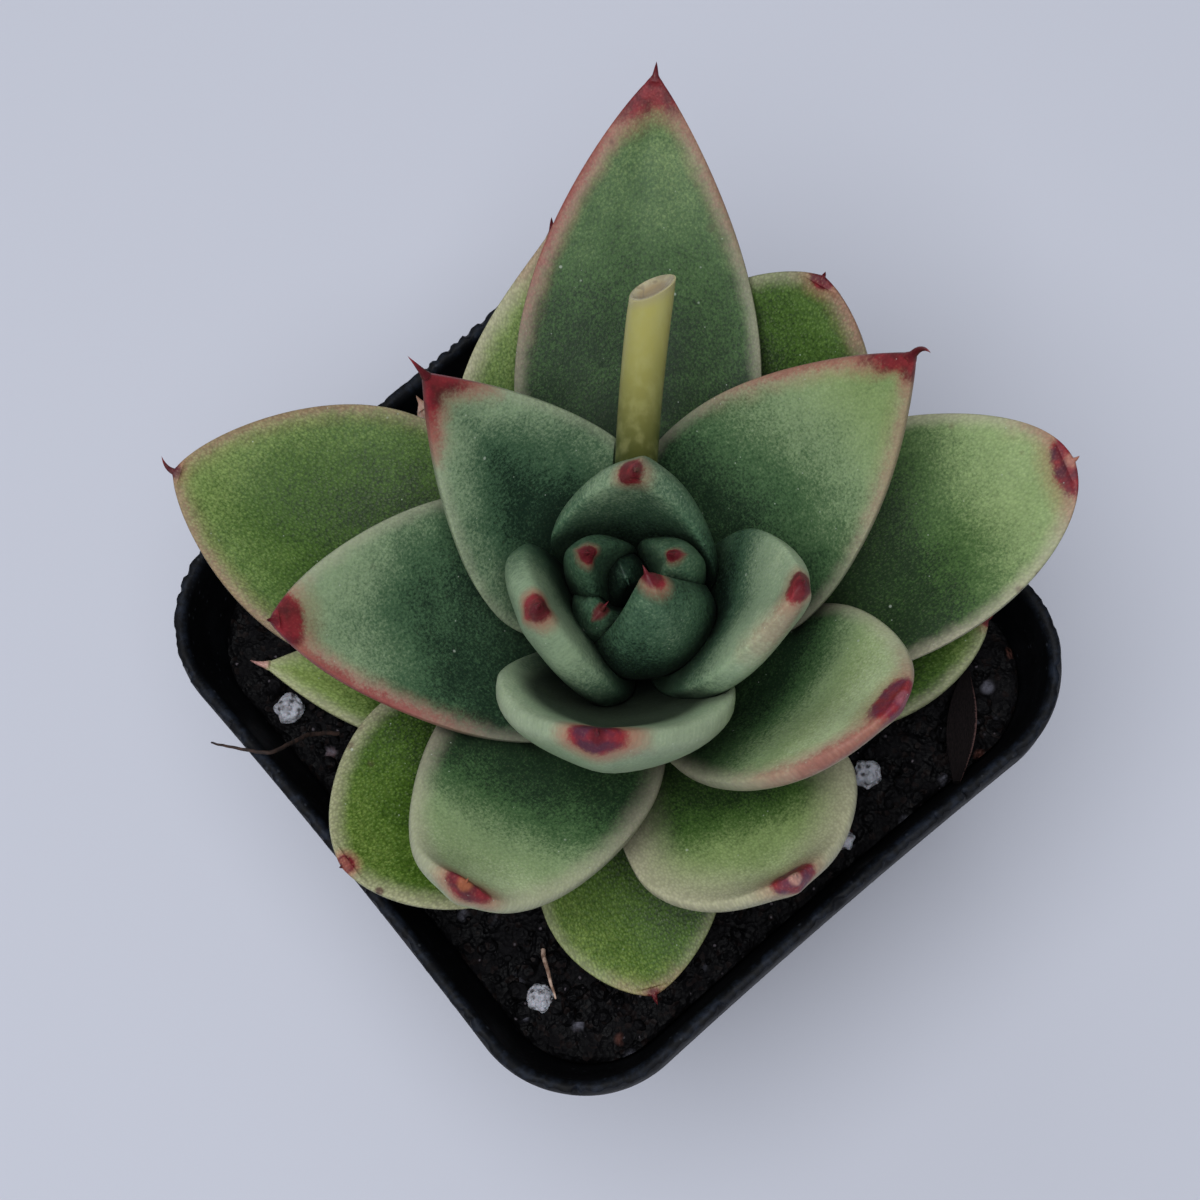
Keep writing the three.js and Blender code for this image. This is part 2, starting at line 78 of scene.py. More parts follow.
# The leaves from the youngest out: turn, swing, reach, top, width, belly and the rest of the form
LEAVES = [
    (0, 0, -0.5, 86, 4.5, 1.5, HEART),
    (-20, 13, 4, 88, 7, 2.5, dict(HEART, spike=1.2)),
    (-20, -2, 4.5, 91.5, 7.5, 2.5, dict(HEART, blunt=0.9, wide=0.45)),
    (-7, 12, 3, 92, 7, 1, dict(HEART, wide=0.5)),
    (-2, 21, 3, 94, 12, 7, dict(HEART, cup=0.3, blunt=0.8, wide=0.4, thick=5.5)),
    (-3, 2, 7.5, 94, 15.5, 3.5, dict(HEART, blunt=1.1, wide=0.45)),
    (-6, 6, 8.5, 96, 17, 2.5, dict(HEART, cup=0.05, blunt=1.1, wide=0.4, upper=0.4)),
    (-17, 10, 16, 96, 16.5, 0.5, dict(HEART, cup=0.15, blunt=0.8, wide=0.45, thick=5.5, upper=0.3)),
    (1, 3, 24, 94, 20, 3.5, dict(wide=0.25, blunt=1.1, neck=0.7, spike=2.4, hook=-0.2)),
    (-5, -1, 16, 95, 21.5, 7, dict(HEART, cup=0.4, blunt=0.8, thick=6, upper=0.5)),
    (-10, -2, 31.5, 92, 22.5, 4.5, dict(wide=0.3, blunt=0.95, spike=3, lean=-0.5)),
    (-3, 5, 32, 86, 24.5, 4, dict(wide=0.25)),
    (-6, 18, 27, 88, 21.5, 6.5, dict(blunt=0.6, bend=0.4, spike=0.5, upper=0.4, plump=0.75)),
    (-10, -3, 49, 85, 24, 3.5, dict(wide=0.4, blunt=0.85, spike=1.3)),
    (3, 3, 30.5, 86, 21.5, 10, dict(wide=0.4, blunt=0.65, bend=0.9, spike=0.5, upper=0.4, plump=0.75)),
    (-1, 3, 43, 78, 23.5, 3, dict(wide=0.5, blunt=0.5)),
    (10, 1, 46, 76, 26, 4, dict(blunt=0.7, spike=1.8, lean=-0.5)),
    (7, 3, 30, 78, 23, 10.5, dict(wide=0.6, blunt=1, bend=0.8, spike=0.5, upper=0.4, plump=0.75)),
    (-6, -2, 36, 78, 24, 4.5, dict(wide=0.6, blunt=0.65)),
    (22, -5, 36.5, 72, 23.5, 4.5, dict(wide=0.6, blunt=0.55, spike=0.5)),
    (8, 10, 34, 66, 17, 3, dict(blunt=0.65)),
    (-13, -5, 39, 74, 25.5, 3.5, dict(wide=0.5, blunt=1.1, spike=1.3)),
    (4, 11, 35.5, 60, 18, 2.5, dict(wide=0.65, blunt=0.65, thick=4.5, spike=1.3)),
    (0, 0, 30, 64, 18, 3, {}),
    (21, -9, 38, 62, 16, 2, dict(wide=0.4, blunt=1, thick=4, spike=1.3)),
]
DRY_LEAF = (-2, -4, 31.2, 68, 12, 1, dict(cup=0.2, thick=2.5))
USUAL_LEAF = dict(wide=0.55, blunt=0.8, neck=0.5, cup=0.25, thick=LEAF_THICKNESS, upper=0.28, plump=0.9,
                  bend=0.55, spike=0.8, hook=0.5, lean=0)

STALK_RADIUS, STALK_SLANT, STALK_SINK, STALK_RIDGE = 2.0, 0.65, 0.55, 0.12
STALK_PATH = [(48, 2.5, 66), (50, 12.5, 78), (43, 24.2, 94)]

# Camera, fitted to the four sides of the pot's rim in the photo, whose sides are in pixels
CAMERA_AIM, CAMERA_DISTANCE = (1.71, 3.69, POT_HEIGHT), 225
CAMERA_TILT, CAMERA_AZIMUTH, CAMERA_UP = 13.8, 246.5, 50
FOCAL_PIXELS, PHOTO_SIDE, SENSOR_WIDTH = 2251.6, 1200, 36

# Floor and light: each lamp's place and aim in metres, its width, power and tint
FLOOR_REACH, FLOOR_COLOUR = 2500, (204, 207, 219)
SKY_TINT, SKY_STRENGTH = (0.86, 0.91, 1.0, 1), 0.17
LAMPS = {
    "key": ((-0.14, -0.07, 0.95), (0, 0, 0.07), 0.75, 7.6, (0.97, 0.98, 1)),
    "fill": ((0.1, 0.75, 0.8), (0, 0, 0.06), 0.9, 1.2, (0.95, 0.97, 1)),
}


def smooth(x, low, high):
    t = np.clip((x - low) / (high - low), 0, 1)
    return t * t * (3 - 2 * t)


def lerp(a, b, t):
    return a + (b - a) * t


def unit(v):
    return v / np.linalg.norm(v, axis=-1, keepdims=True)


def fbm(points, scale, octaves, seed):
    shift = Vector((seed * 3.7, seed * 1.3, seed * 7.1))
    return np.array([noise.fractal(Vector(p) * scale + shift, 1.0, 2.0, octaves) for p in points])


def round_turn(count):
    """Evenly spaced angles round a full turn."""
    return np.arange(count) / count * 2 * np.pi


def walk(path):
    """How far along the path each of its points lies."""
    return np.r_[0, np.cumsum(np.linalg.norm(np.diff(path, axis=0), axis=1))]


def heading(azimuth):
    a = math.radians(azimuth)
    return np.array([math.cos(a), math.sin(a), 0])


def circle(count):
    angle = round_turn(count)
    return np.stack([np.cos(angle), np.sin(angle), 0 * angle], 1)


# ---- meshes ----

def make_object(name, points, faces):
    mesh = bpy.data.meshes.new(name)
    mesh.from_pydata((np.asarray(points) * MM).tolist(), [], faces)
    mesh.update()
    obj = bpy.data.objects.new(name, mesh)
    bpy.context.scene.collection.objects.link(obj)
    return obj


def loft_parts(grid):
    """A closed skin's points and faces: quads between the rings, and a fan over each end."""
    rings, sides = grid.shape[:2]
    faces = []
    for i in range(rings - 1):
        for j in range(sides):
            k = (j + 1) % sides
            faces.append((i * sides + j, i * sides + k, (i + 1) * sides + k, (i + 1) * sides + j))
    first, last, top = rings * sides, rings * sides + 1, (rings - 1) * sides
    for j in range(sides):
        k = (j + 1) % sides
        faces += [(first, k, j), (last, top + j, top + k)]
    return np.vstack([grid.reshape(-1, 3), grid[0].mean(0), grid[-1].mean(0)]), faces


def loft(name, grid):
    return make_object(name, *loft_parts(grid))


def merged(pieces):
    """Several pieces' points and faces as those of one."""
    all_points, all_faces, offset = [], [], 0
    for points, faces in pieces:
        all_points.append(points)
        all_faces += [tuple(v + offset for v in face) for face in faces]
        offset += len(points)
    return np.vstack(all_points), all_faces


def discard(tools):
    for tool in tools:
        bpy.data.meshes.remove(tool.data)


def cut(obj, tools):
    """Subtracts the tools, and keeps the largest body that is left."""
    group = bpy.data.collections.new("tools")
    for tool in tools:
        group.objects.link(tool)
    modifier = obj.modifiers.new("cut", "BOOLEAN")
    modifier.operation = "DIFFERENCE"
    modifier.operand_type = "COLLECTION"
    modifier.collection = group
    modifier.solver = "MANIFOLD"
    graph = bpy.context.evaluated_depsgraph_get()
    mesh = bpy.data.meshes.new_from_object(obj.evaluated_get(graph))
    obj.modifiers.clear()
    obj.data = mesh
    bpy.data.collections.remove(group)
    keep_largest(obj)


def keep_largest(obj):
    """Spreads the lowest vertex number over each body's edges, and keeps the commonest."""
    mesh = obj.data
    edges = np.empty(len(mesh.edges) * 2, np.int32)
    mesh.edges.foreach_get("vertices", edges)
    edges = edges.reshape(-1, 2)
    label, before = np.arange(len(mesh.vertices)), None
    while not np.array_equal(label, before):
        before, label = label, label.copy()
        low = label[edges].min(1)
        for ends in edges.T:
            np.minimum.at(label, ends, low)
        label = label[label]
    names, sizes = np.unique(label, return_counts=True)
    if len(names) == 1:
        return
    keep = label == names[sizes.argmax()]
    index = np.cumsum(keep) - 1
    points = np.array([v.co for v in mesh.vertices])[keep]
    faces = [tuple(index[v] for v in p.vertices) for p in mesh.polygons if keep[p.vertices[0]]]
    fresh = bpy.data.meshes.new(obj.name)
    fresh.from_pydata(points.tolist(), [], faces)
    fresh.update()
    obj.data = fresh


def finish_piece(obj, node, material, sharp=40):
    obj.data.shade_smooth()
    obj.data.set_sharp_from_angle(angle=math.radians(sharp))
    obj.data.materials.clear()
    obj.data.materials.append(material)
    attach(obj, "root")
    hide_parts(node)


def set_vector(obj, name, values):
    layer = obj.data.attributes.new(name, "FLOAT_VECTOR", "POINT")
    layer.data.foreach_set("vector", np.ascontiguousarray(values, np.float32).ravel())


# ---- material graphs ----

def as_light(colour):
    """A screen colour, whose parts go to 255, as light. A socket stays what it is."""
    if isinstance(colour, bpy.types.NodeSocket):
        return colour
    parts = (c / 255 for c in colour)
    return (*(c / 12.92 if c <= 0.04045 else ((c + 0.055) / 1.055) ** 2.4 for c in parts), 1.0)


def mixed(share, first, second):
    return [lerp(a, b, share) for a, b in zip(first, second)]


class Graph:
    def __init__(self, name):
        self.material = bpy.data.materials.new(name)
        self.material.use_nodes = True
        self.tree = self.material.node_tree
        self.shader = self.tree.nodes["Principled BSDF"]
        self.colour = (0, 0, 0)

    def wire(self, socket, value):
        if isinstance(value, bpy.types.NodeSocket):
            self.tree.links.new(value, socket)
        elif value is not None:
            socket.default_value = value

    def node(self, kind, inputs=(), **settings):
        n = self.tree.nodes.new(kind)
        for key, value in settings.items():
            setattr(n, key, value)
        for key, value in dict(inputs).items():
            self.wire(n.inputs[key], value)
        return n

    def where(self):
        """The place on the piece, in metres."""
        return self.node("ShaderNodeTexCoord").outputs["Object"]

    def attribute(self, name):
        return self.node("ShaderNodeAttribute", attribute_name=name).outputs["Vector"]

    def split(self, vector):
        n = self.node("ShaderNodeSeparateXYZ", {0: vector})
        return n.outputs[0], n.outputs[1], n.outputs[2]

    def join(self, x, y, z):
        return self.node("ShaderNodeCombineXYZ", {0: x, 1: y, 2: z}).outputs[0]

    def math(self, operation, a, b=None):
        return self.node("ShaderNodeMath", {0: a, 1: b}, operation=operation).outputs[0]

    def add(self, a, b):
        return self.math("ADD", a, b)

    def sub(self, a, b):
        return self.math("SUBTRACT", a, b)

    def mul(self, a, b, *more):
        out = self.math("MULTIPLY", a, b)
        for value in more:
            out = self.math("MULTIPLY", out, value)
        return out

    def ramp(self, x, low, high, a=0.0, b=1.0):
        """Eases from a to b as x goes from low to high."""
        ends = {0: x, 1: low, 2: high, 3: a, 4: b}
        return self.node("ShaderNodeMapRange", ends, interpolation_type="SMOOTHSTEP").outputs[0]

    def mix(self, share, a, b, blend="MIX"):
        inputs = {0: share, 6: as_light(a), 7: as_light(b)}
        return self.node("ShaderNodeMix", inputs, data_type="RGBA", blend_type=blend).outputs[2]

    def paint(self, share, colour, blend="MIX"):
        """Lays a share of that colour over the material's."""
        self.colour = self.mix(share, self.colour, colour, blend)

    def shade(self, amount):
        self.paint(1.0, self.join(amount, amount, amount), "MULTIPLY")

    def scaled(self, vector, x, y, z, shift=(0, 0, 0)):
        return self.node("ShaderNodeMapping", {0: vector, 1: shift, 3: (x, y, z)}).outputs[0]

    def noise(self, vector, scale, detail, roughness=0.5):
        inputs = {"Vector": vector, "Scale": scale, "Detail": detail, "Roughness": roughness}
        return self.node("ShaderNodeTexNoise", inputs).outputs["Fac"]

    def cells(self, vector, scale):
        return self.node("ShaderNodeTexVoronoi", {"Vector": vector, "Scale": scale}).outputs

    def flecks(self, cells, channel, rarity, ease, near, far):
        """A round fleck in the middle of each of the few cells whose random number is high."""
        rare = self.ramp(self.split(cells["Color"])[channel], rarity, rarity + ease)
        return self.mul(self.ramp(cells["Distance"], near, far, 1, 0), rare)

    def bump(self, height, distance, strength):
        inputs = {"Height": height, "Distance": distance, "Strength": strength}
        return self.node("ShaderNodeBump", inputs).outputs[0]

    def finish(self, roughness, normal=None, **constants):
        inputs = {"Base Color": as_light(self.colour), "Roughness": roughness, "Normal": normal}
        for key, value in inputs.items():
            self.wire(self.shader.inputs[key], value)
        for key, value in constants.items():
            self.shader.inputs[key.replace("_", " ")].default_value = value
        return self.material


# ---- leaves ----

def leaf_frame(number, row):
    turn, swing, reach, top, width, belly, extra = row
    leaf = {**USUAL_LEAF, **extra}
    azimuth = FIRST_AZIMUTH + GOLDEN_ANGLE * (number - 1) + turn
    outward, sideways = heading(azimuth), heading(azimuth + 90)
    out, side, _ = reach * heading(swing)
    young = max(0, (LEAF_COUNT - number) / (LEAF_COUNT - 1))
    r0 = min(FOOT_MOST, FOOT_LEAST + FOOT_STEP * (number - 1))
    z0 = LOWEST_BASE + 1 if number > LEAF_COUNT else lerp(LOWEST_BASE, HIGHEST_BASE, young ** 1.3)
    length = math.hypot(out - r0, top - z0)
    sag_out, sag_down = (top - z0) / length * belly, (out - r0) / length * belly

    def place(r, s, z):
        return AXIS + outward * r + sideways * s + np.array([0, 0, z])

    foot = place(r0, 0, z0)
    bend = place(lerp(r0, out, leaf["bend"]) + sag_out, 0, lerp(z0, top, leaf["bend"]) - sag_down)
    apex = place(out, side, top)
    ahead = unit(apex - bend)
    level = unit(sideways - ahead * sideways.dot(ahead))
    inward = np.cross(ahead, level)
    mucro = leaf["spike"]
    half = apex + ahead * mucro / 2
    point = apex + mucro * (ahead + inward * leaf["hook"] + level * leaf["lean"])
    leaf.update(width=width, sideways=sideways, blade=(foot, bend, apex), mucro=(apex, half, point))
    return leaf


def bezier(points, t):
    a, b, c = points
    t = t[:, None]
    return (1 - t) ** 2 * a + 2 * t * (1 - t) * b + t ** 2 * c


def leaf_grid(number, row, grow, rings, tip_rings, sides):
    """Rings of points from the base to the mucro, with each point's place on the leaf."""
    leaf = leaf_frame(number, row)
    path = np.vstack([bezier(leaf["blade"], np.linspace(0, 1, BLADE_STEPS)),
                      bezier(leaf["mucro"], np.linspace(0, 1, MUCRO_STEPS))[1:]])
    walked = walk(path)
    blade, total = walked[BLADE_STEPS - 1], walked[-1]
    on_blade = blade * (1 - (1 - np.arange(rings) / rings) ** RING_BUNCHING)
    stations = np.r_[on_blade, lerp(blade, total, np.linspace(0, MUCRO_SEEN, tip_rings))]

    def at(where):
        return np.stack([np.interp(where, walked, path[:, k]) for k in range(3)], 1)

    centre = at(stations)
    along = unit(at(np.minimum(total, stations + 0.25)) - at(np.maximum(0, stations - 0.25)))
    across = unit(leaf["sideways"] - along * (along @ leaf["sideways"])[:, None])
    inward = np.cross(along, across)
    s = np.minimum(1, stations / blade)
    wide, blunt, neck = leaf["wide"], leaf["blunt"], leaf["neck"]
    share = np.where(
        s <= wide,
        lerp(neck, 1, np.sin(np.pi / 2 * s / wide)),
        np.maximum(0, np.cos(np.pi / 2 * np.clip((s - wide) / (1 - wide), 0, 1))) ** blunt,
    )
    start = blade - MUCRO_RUN
    left = np.clip((total - stations) / (total - start), 0, 1)
    spike = np.where(stations > start, MUCRO_RADIUS * left, 0)

    def blend(a, b):
        return np.cbrt(a ** 3 + b ** 3)

    half = blend(share * leaf["width"] / 2, spike) + grow
    depth = leaf["thick"] * lerp(LEAF_ENDS, 1, np.sin(np.pi * s ** 0.8)) * np.sqrt(1 - s ** 5)
    below = blend((1 - leaf["upper"]) * depth, spike) + grow
    above = blend(leaf["upper"] * depth, spike) + grow
    cup = leaf["cup"] * half * (1 - 0.75 * smooth(s, 0.5, 1))
    centre[0] -= along[0] * grow
    centre[-1] += along[-1] * grow

    angle = round_turn(sides)
    cos, sin = np.cos(angle)[None, :], np.sin(angle)[None, :]
    x = half[:, None] * cos
    face = sin * np.ones_like(x)
    thickness = np.where(np.arange(sides)[None, :] * 2 < sides, above[:, None], below[:, None])
    plump = lerp(leaf["plump"], 1, smooth(stations, start, blade))[:, None]
    lift = cup[:, None] * cos ** 2 + thickness * np.sign(sin) * np.abs(sin) ** plump
    # A soft channel along the upper face, a keel under the tip and a slow ripple over both
    wave = np.stack([x * 0.11 + number * 5.3, stations[:, None] * 0.09 + 0 * x, 0.6 * np.sign(face)], -1)
    ripple = np.array([noise.noise(Vector(p)) for p in wave.reshape(-1, 3)]).reshape(x.shape)
    body = smooth(s, 0.05, 0.3)[:, None] * (1 - smooth(s, 0.85, 1))[:, None]
    channel = np.exp(-(x / (CHANNEL[1] * half[:, None])) ** 2)
    lift = lift - CHANNEL[0] * channel * body * (face > 0) + RIPPLE * ripple * body * np.abs(sin) ** 0.5
    keel = np.exp(-(x / (KEEL[1] * half[:, None])) ** 2)
    keel *= smooth(s, 0.55, 0.85)[:, None] * (1 - smooth(s, 0.93, 1))[:, None]
    lift = lift - KEEL[0] * keel * (face < 0)
    grid = centre[:, None] + across[:, None] * x[..., None] + inward[:, None] * lift[..., None]

    edge = np.stack([np.r_[half, half[-1]], np.r_[stations, total]], 1)
    fine = np.linspace(0, len(edge) - 1, 3 * len(edge))
    edge = np.stack([np.interp(fine, np.arange(len(edge)), edge[:, k]) for k in range(2)], 1)
    flat = np.stack([np.abs(x), stations[:, None] + 0 * x], -1).reshape(-1, 2)
    margin = np.sqrt(((flat[:, None] - edge[None]) ** 2).sum(-1)).min(1)
    tip = np.hypot(flat[:, 0], blade - flat[:, 1]) * np.where(flat[:, 1] > blade, 0.5, 1)
    place = np.stack([x.ravel(), flat[:, 1], face.ravel()], 1)
    measure = np.stack([margin, tip, flat[:, 1] / blade], 1)
    place = np.vstack([place, [[0, 0, 0], [0, total, 0]]])
    measure = np.vstack([measure, [[half[0], blade, 0], [0, 0, 1]]])
    return grid, place, measure


def carry_over(obj, points, faces, layers):
    """Gives a cut mesh the layers of the whole one, read at the nearest point of its surface."""
    triangles = []
    for f in faces:
        triangles.append(f[:3])
        if len(f) == 4:
            triangles.append((f[0], f[2], f[3]))
    tree = BVHTree.FromPolygons((points * MM).tolist(), triangles)
    corners = np.array(triangles)
    found = [tree.find_nearest(v.co) for v in obj.data.vertices]
    spot = np.array([f[0] for f in found])
    tri = corners[[f[2] for f in found]]
    a, b, c = (points[tri[:, k]] * MM for k in range(3))
    v0, v1, v2 = b - a, c - a, spot - a
    d00, d01, d11 = (v0 * v0).sum(1), (v0 * v1).sum(1), (v1 * v1).sum(1)
    d20, d21 = (v2 * v0).sum(1), (v2 * v1).sum(1)
    bottom = np.maximum(d00 * d11 - d01 ** 2, 1e-24)
    v = np.clip((d11 * d20 - d01 * d21) / bottom, 0, 1)[:, None]
    w = np.clip((d00 * d21 - d01 * d20) / bottom, 0, 1)[:, None]
    for name, values in layers.items():
        a, b, c = (values[tri[:, k]] for k in range(3))
        set_vector(obj, name, a * (1 - v - w) + b * v + c * w)


# Each leaf's colours. `age` goes from the blue-green heart to the yellow-green outside, and
# `tone` tells where along the leaf the green starts and stops lightening and by how much, which is
# partly the leaf's own green and partly painted shade towards the foot and painted light towards
# the tip, `rim` how much lighter its sides are than its middle and `lit` how much painted light
# makes its + side lighter than its - side. `spot` is the crimson spot: its radius, how far it lies
# from the apex (below 0 on the back) and aside, and its stretch towards the + and - edges; `cap` is
# the length of a crimson tip and how fast it ends on the + and - sides. `flush` is the strength of
# the blush round either, `core` its darkest colour and `point` the mucro's. `red` is the red line
# along the + and - edges (strength, length), `pale` the light border's strength and width, `dots`
# how rare the dark dots are, `warm` how much yellower the tip is and `hollow` how much painted
# shade darkens the inner face
LOOKS = {
    1: dict(tone=(0.3, 1, -0.1)),
    2: dict(tone=(0.2, 1, 0.3), spot=(0.35, 0.3, 0, 1, 1), flush=0.3),
    3: dict(tone=(0.2, 1, 0.4), spot=(0.85, 0.8, 0.3, 1.3, 1.1)),
    4: dict(tone=(0.2, 1, 0.25), spot=(1.05, 1.2, 0, 1, 1)),
    5: dict(tone=(0.2, 1, 0.5), rim=-0.2, spot=(1.35, -1.4, 0.6, 0.7, 0.7), flush=0.7),
    6: dict(tone=(0.3, 1, 0.7), lit=0.12, spot=(1.35, 1.8, 1, 1.1, 1)),
    7: dict(tone=(0.3, 0.9, 1), spot=(1.75, 1.4, -0.7, 1, 1), flush=0.85),
    8: dict(tone=(0.45, 0.85, 1.1), rim=0.25, lit=-0.05, spot=(1.7, 1.2, 0, 1, 1.1), red=(0, 4, 0.35, 10)),
    9: dict(age=0.1, tone=(0.45, 1, 0.45), rim=0.6, cap=(3.4, 1, 1), red=(1, 10, 0.7, 9), pale=(0.3, 1.5)),
    10: dict(tone=(0.1, 0.6, 1.15), hollow=0.85, spot=(2.1, -0.9, -0.9, 1.6, 1.2), core=(80, 26, 56),
             red=(0.2, 6, 0.1, 3), flush=0.9, pale=(0.2, 2)),
    11: dict(age=0.25, tone=(0.25, 0.8, 1), lit=0.05, warm=0.6, cap=(2.9, 0.85, 1.7), red=(0.7, 24, 0.3, 22),
             pale=(0.5, 1.6)),
    12: dict(age=0.15, tone=(0.38, 0.95, 0.85), lit=-0.12, rim=0.2, spot=(2.5, 1.8, 0, 1.2, 1),
             red=(1, 24, 0.15, 6), pale=(0.5, 1.8), dots=0.8),
    13: dict(age=0.3, tone=(0.42, 0.85, 1.7), lit=-0.1, warm=0.7, spot=(2, 1.5, 0.2, 1, 1.5),
             core=(104, 40, 70), red=(0.3, 8, 0.8, 17), pale=(0.7, 2.2), point=(150, 84, 96)),
    14: dict(age=0.4, tone=(0.36, 1, 0.6), lit=-0.02, warm=0.3, cap=(3.2, 0.9, 1.15), red=(0.9, 30, 0.45, 22),
             pale=(0.6, 1.8), dots=0.6),
    15: dict(age=0.3, tone=(0.45, 0.9, 1.6), lit=0.08, warm=0.2, spot=(1.9, 1, 0.2, 1.6, 1.1),
             core=(84, 18, 36), pale=(0.7, 2.6), point=(160, 96, 64), flush=0.8),
    16: dict(age=0.5, tone=(0.52, 0.95, 1.1), lit=0.05, spot=(1.8, 1.3, 0, 1.4, 1.9), core=(84, 26, 50),
             red=(0.4, 8, 0.3, 8), pale=(0.8, 1.8), dots=0.6, point=(176, 120, 104)),
    17: dict(age=0.8, tone=(0.45, 1.05, 0.45), rim=0.3, lit=-0.05, spot=(1.6, 0.7, 0.2, 1.2, 0.8),
             red=(0.35, 30, 0.35, 30), pale=(0.5, 1.5), point=(92, 42, 50)),
    18: dict(age=0.6, tone=(0.45, 0.92, 1.9), lit=-0.25, spot=(2.2, 1.3, 0.1, 1.1, 1.1), pale=(1, 6),
             point=(196, 150, 136), core=(96, 48, 76), flush=0.5),
    19: dict(age=0.8, tone=(0.62, 1.1, 0.4), spot=(1.3, 0.7, 0, 1, 1), red=(0.1, 4, 0.5, 10),
             pale=(0.6, 1.8)),
    20: dict(age=1, tone=(0.5, 1.05, 0.5), rim=0.1, spot=(0.9, 0.8, 0, 1, 1), pale=(0.9, 2.2),
             dots=0.6, flush=0.9, point=(150, 84, 72)),
    21: dict(age=0.8, tone=(0.6, 1.1, 0.6), rim=0.1, spot=(1, 0.5, 0, 1, 1), pale=(0.6, 1.6)),
    22: dict(age=0.8, spot=(0.9, 0.5, 0, 1, 1), red=(0.3, 8, 0.3, 8), pale=(1, 2.4)),
    23: dict(age=1, tone=(0.5, 1.05, 0.6), lit=-0.3, spot=(1.1, 0.4, 0, 1, 1), red=(0.2, 5, 0.2, 5),
             pale=(0.5, 1.6)),
    24: dict(age=1, spot=(0.9, 0.5, 0, 1, 1)),
    25: dict(age=0.9, tone=(0.3, 0.95, 1), spot=(0.9, 0.4, 0, 1, 1), pale=(0.8, 1.6), point=(196, 148, 140),
             core=(112, 78, 92)),
}
# Leaf colours, each for the young heart and for the old outer leaves. The deep colour is partly
# painted shade and the bright one painted light
DEEP, MIDDLE = ((24, 46, 36), (36, 60, 14)), ((66, 97, 76), (66, 98, 18))
LIGHT, BRIGHT = ((146, 168, 138), (136, 158, 78)), ((190, 206, 170), (188, 204, 136))
BORDER, CRIMSON = ((176, 168, 152), (176, 172, 140)), (138, 28, 44)
USUAL_LOOK = dict(age=0.05, tone=(0.3, 1, 1), warm=0, hollow=0, spot=(0, 0, 0, 1, 1), cap=(0, 1, 1),
                  red=(0, 5, 0, 5), flush=0.5, pale=(0, 1.5), lit=0, rim=0, dots=1, point=(92, 18, 30),
                  core=(92, 14, 30))


def spot_layer(points, place, measure, number):
    """Each point's offset from the middle of the leaf's spot: aside and otherwise."""
    _, down, lean, _, _ = {**USUAL_LOOK, **LOOKS[number]}["spot"]
    blade = (place[:, 1] / np.maximum(measure[:, 2], 1e-6)).max()
    hidden = place[:, 2] * math.copysign(1, down) < 0
    off = np.hypot(place[:, 0] - lean, blade - abs(down) - place[:, 1]) + 100 * hidden
    middle = points[off.argmin()]
    sideways = leaf_frame(number, LEAVES[number - 1])["sideways"]
    aside = (points - middle) @ sideways
    otherwise = np.sqrt(np.maximum(((points - middle) ** 2).sum(1) - aside ** 2, 0))
    return np.stack([aside, otherwise, 0 * aside], 1)


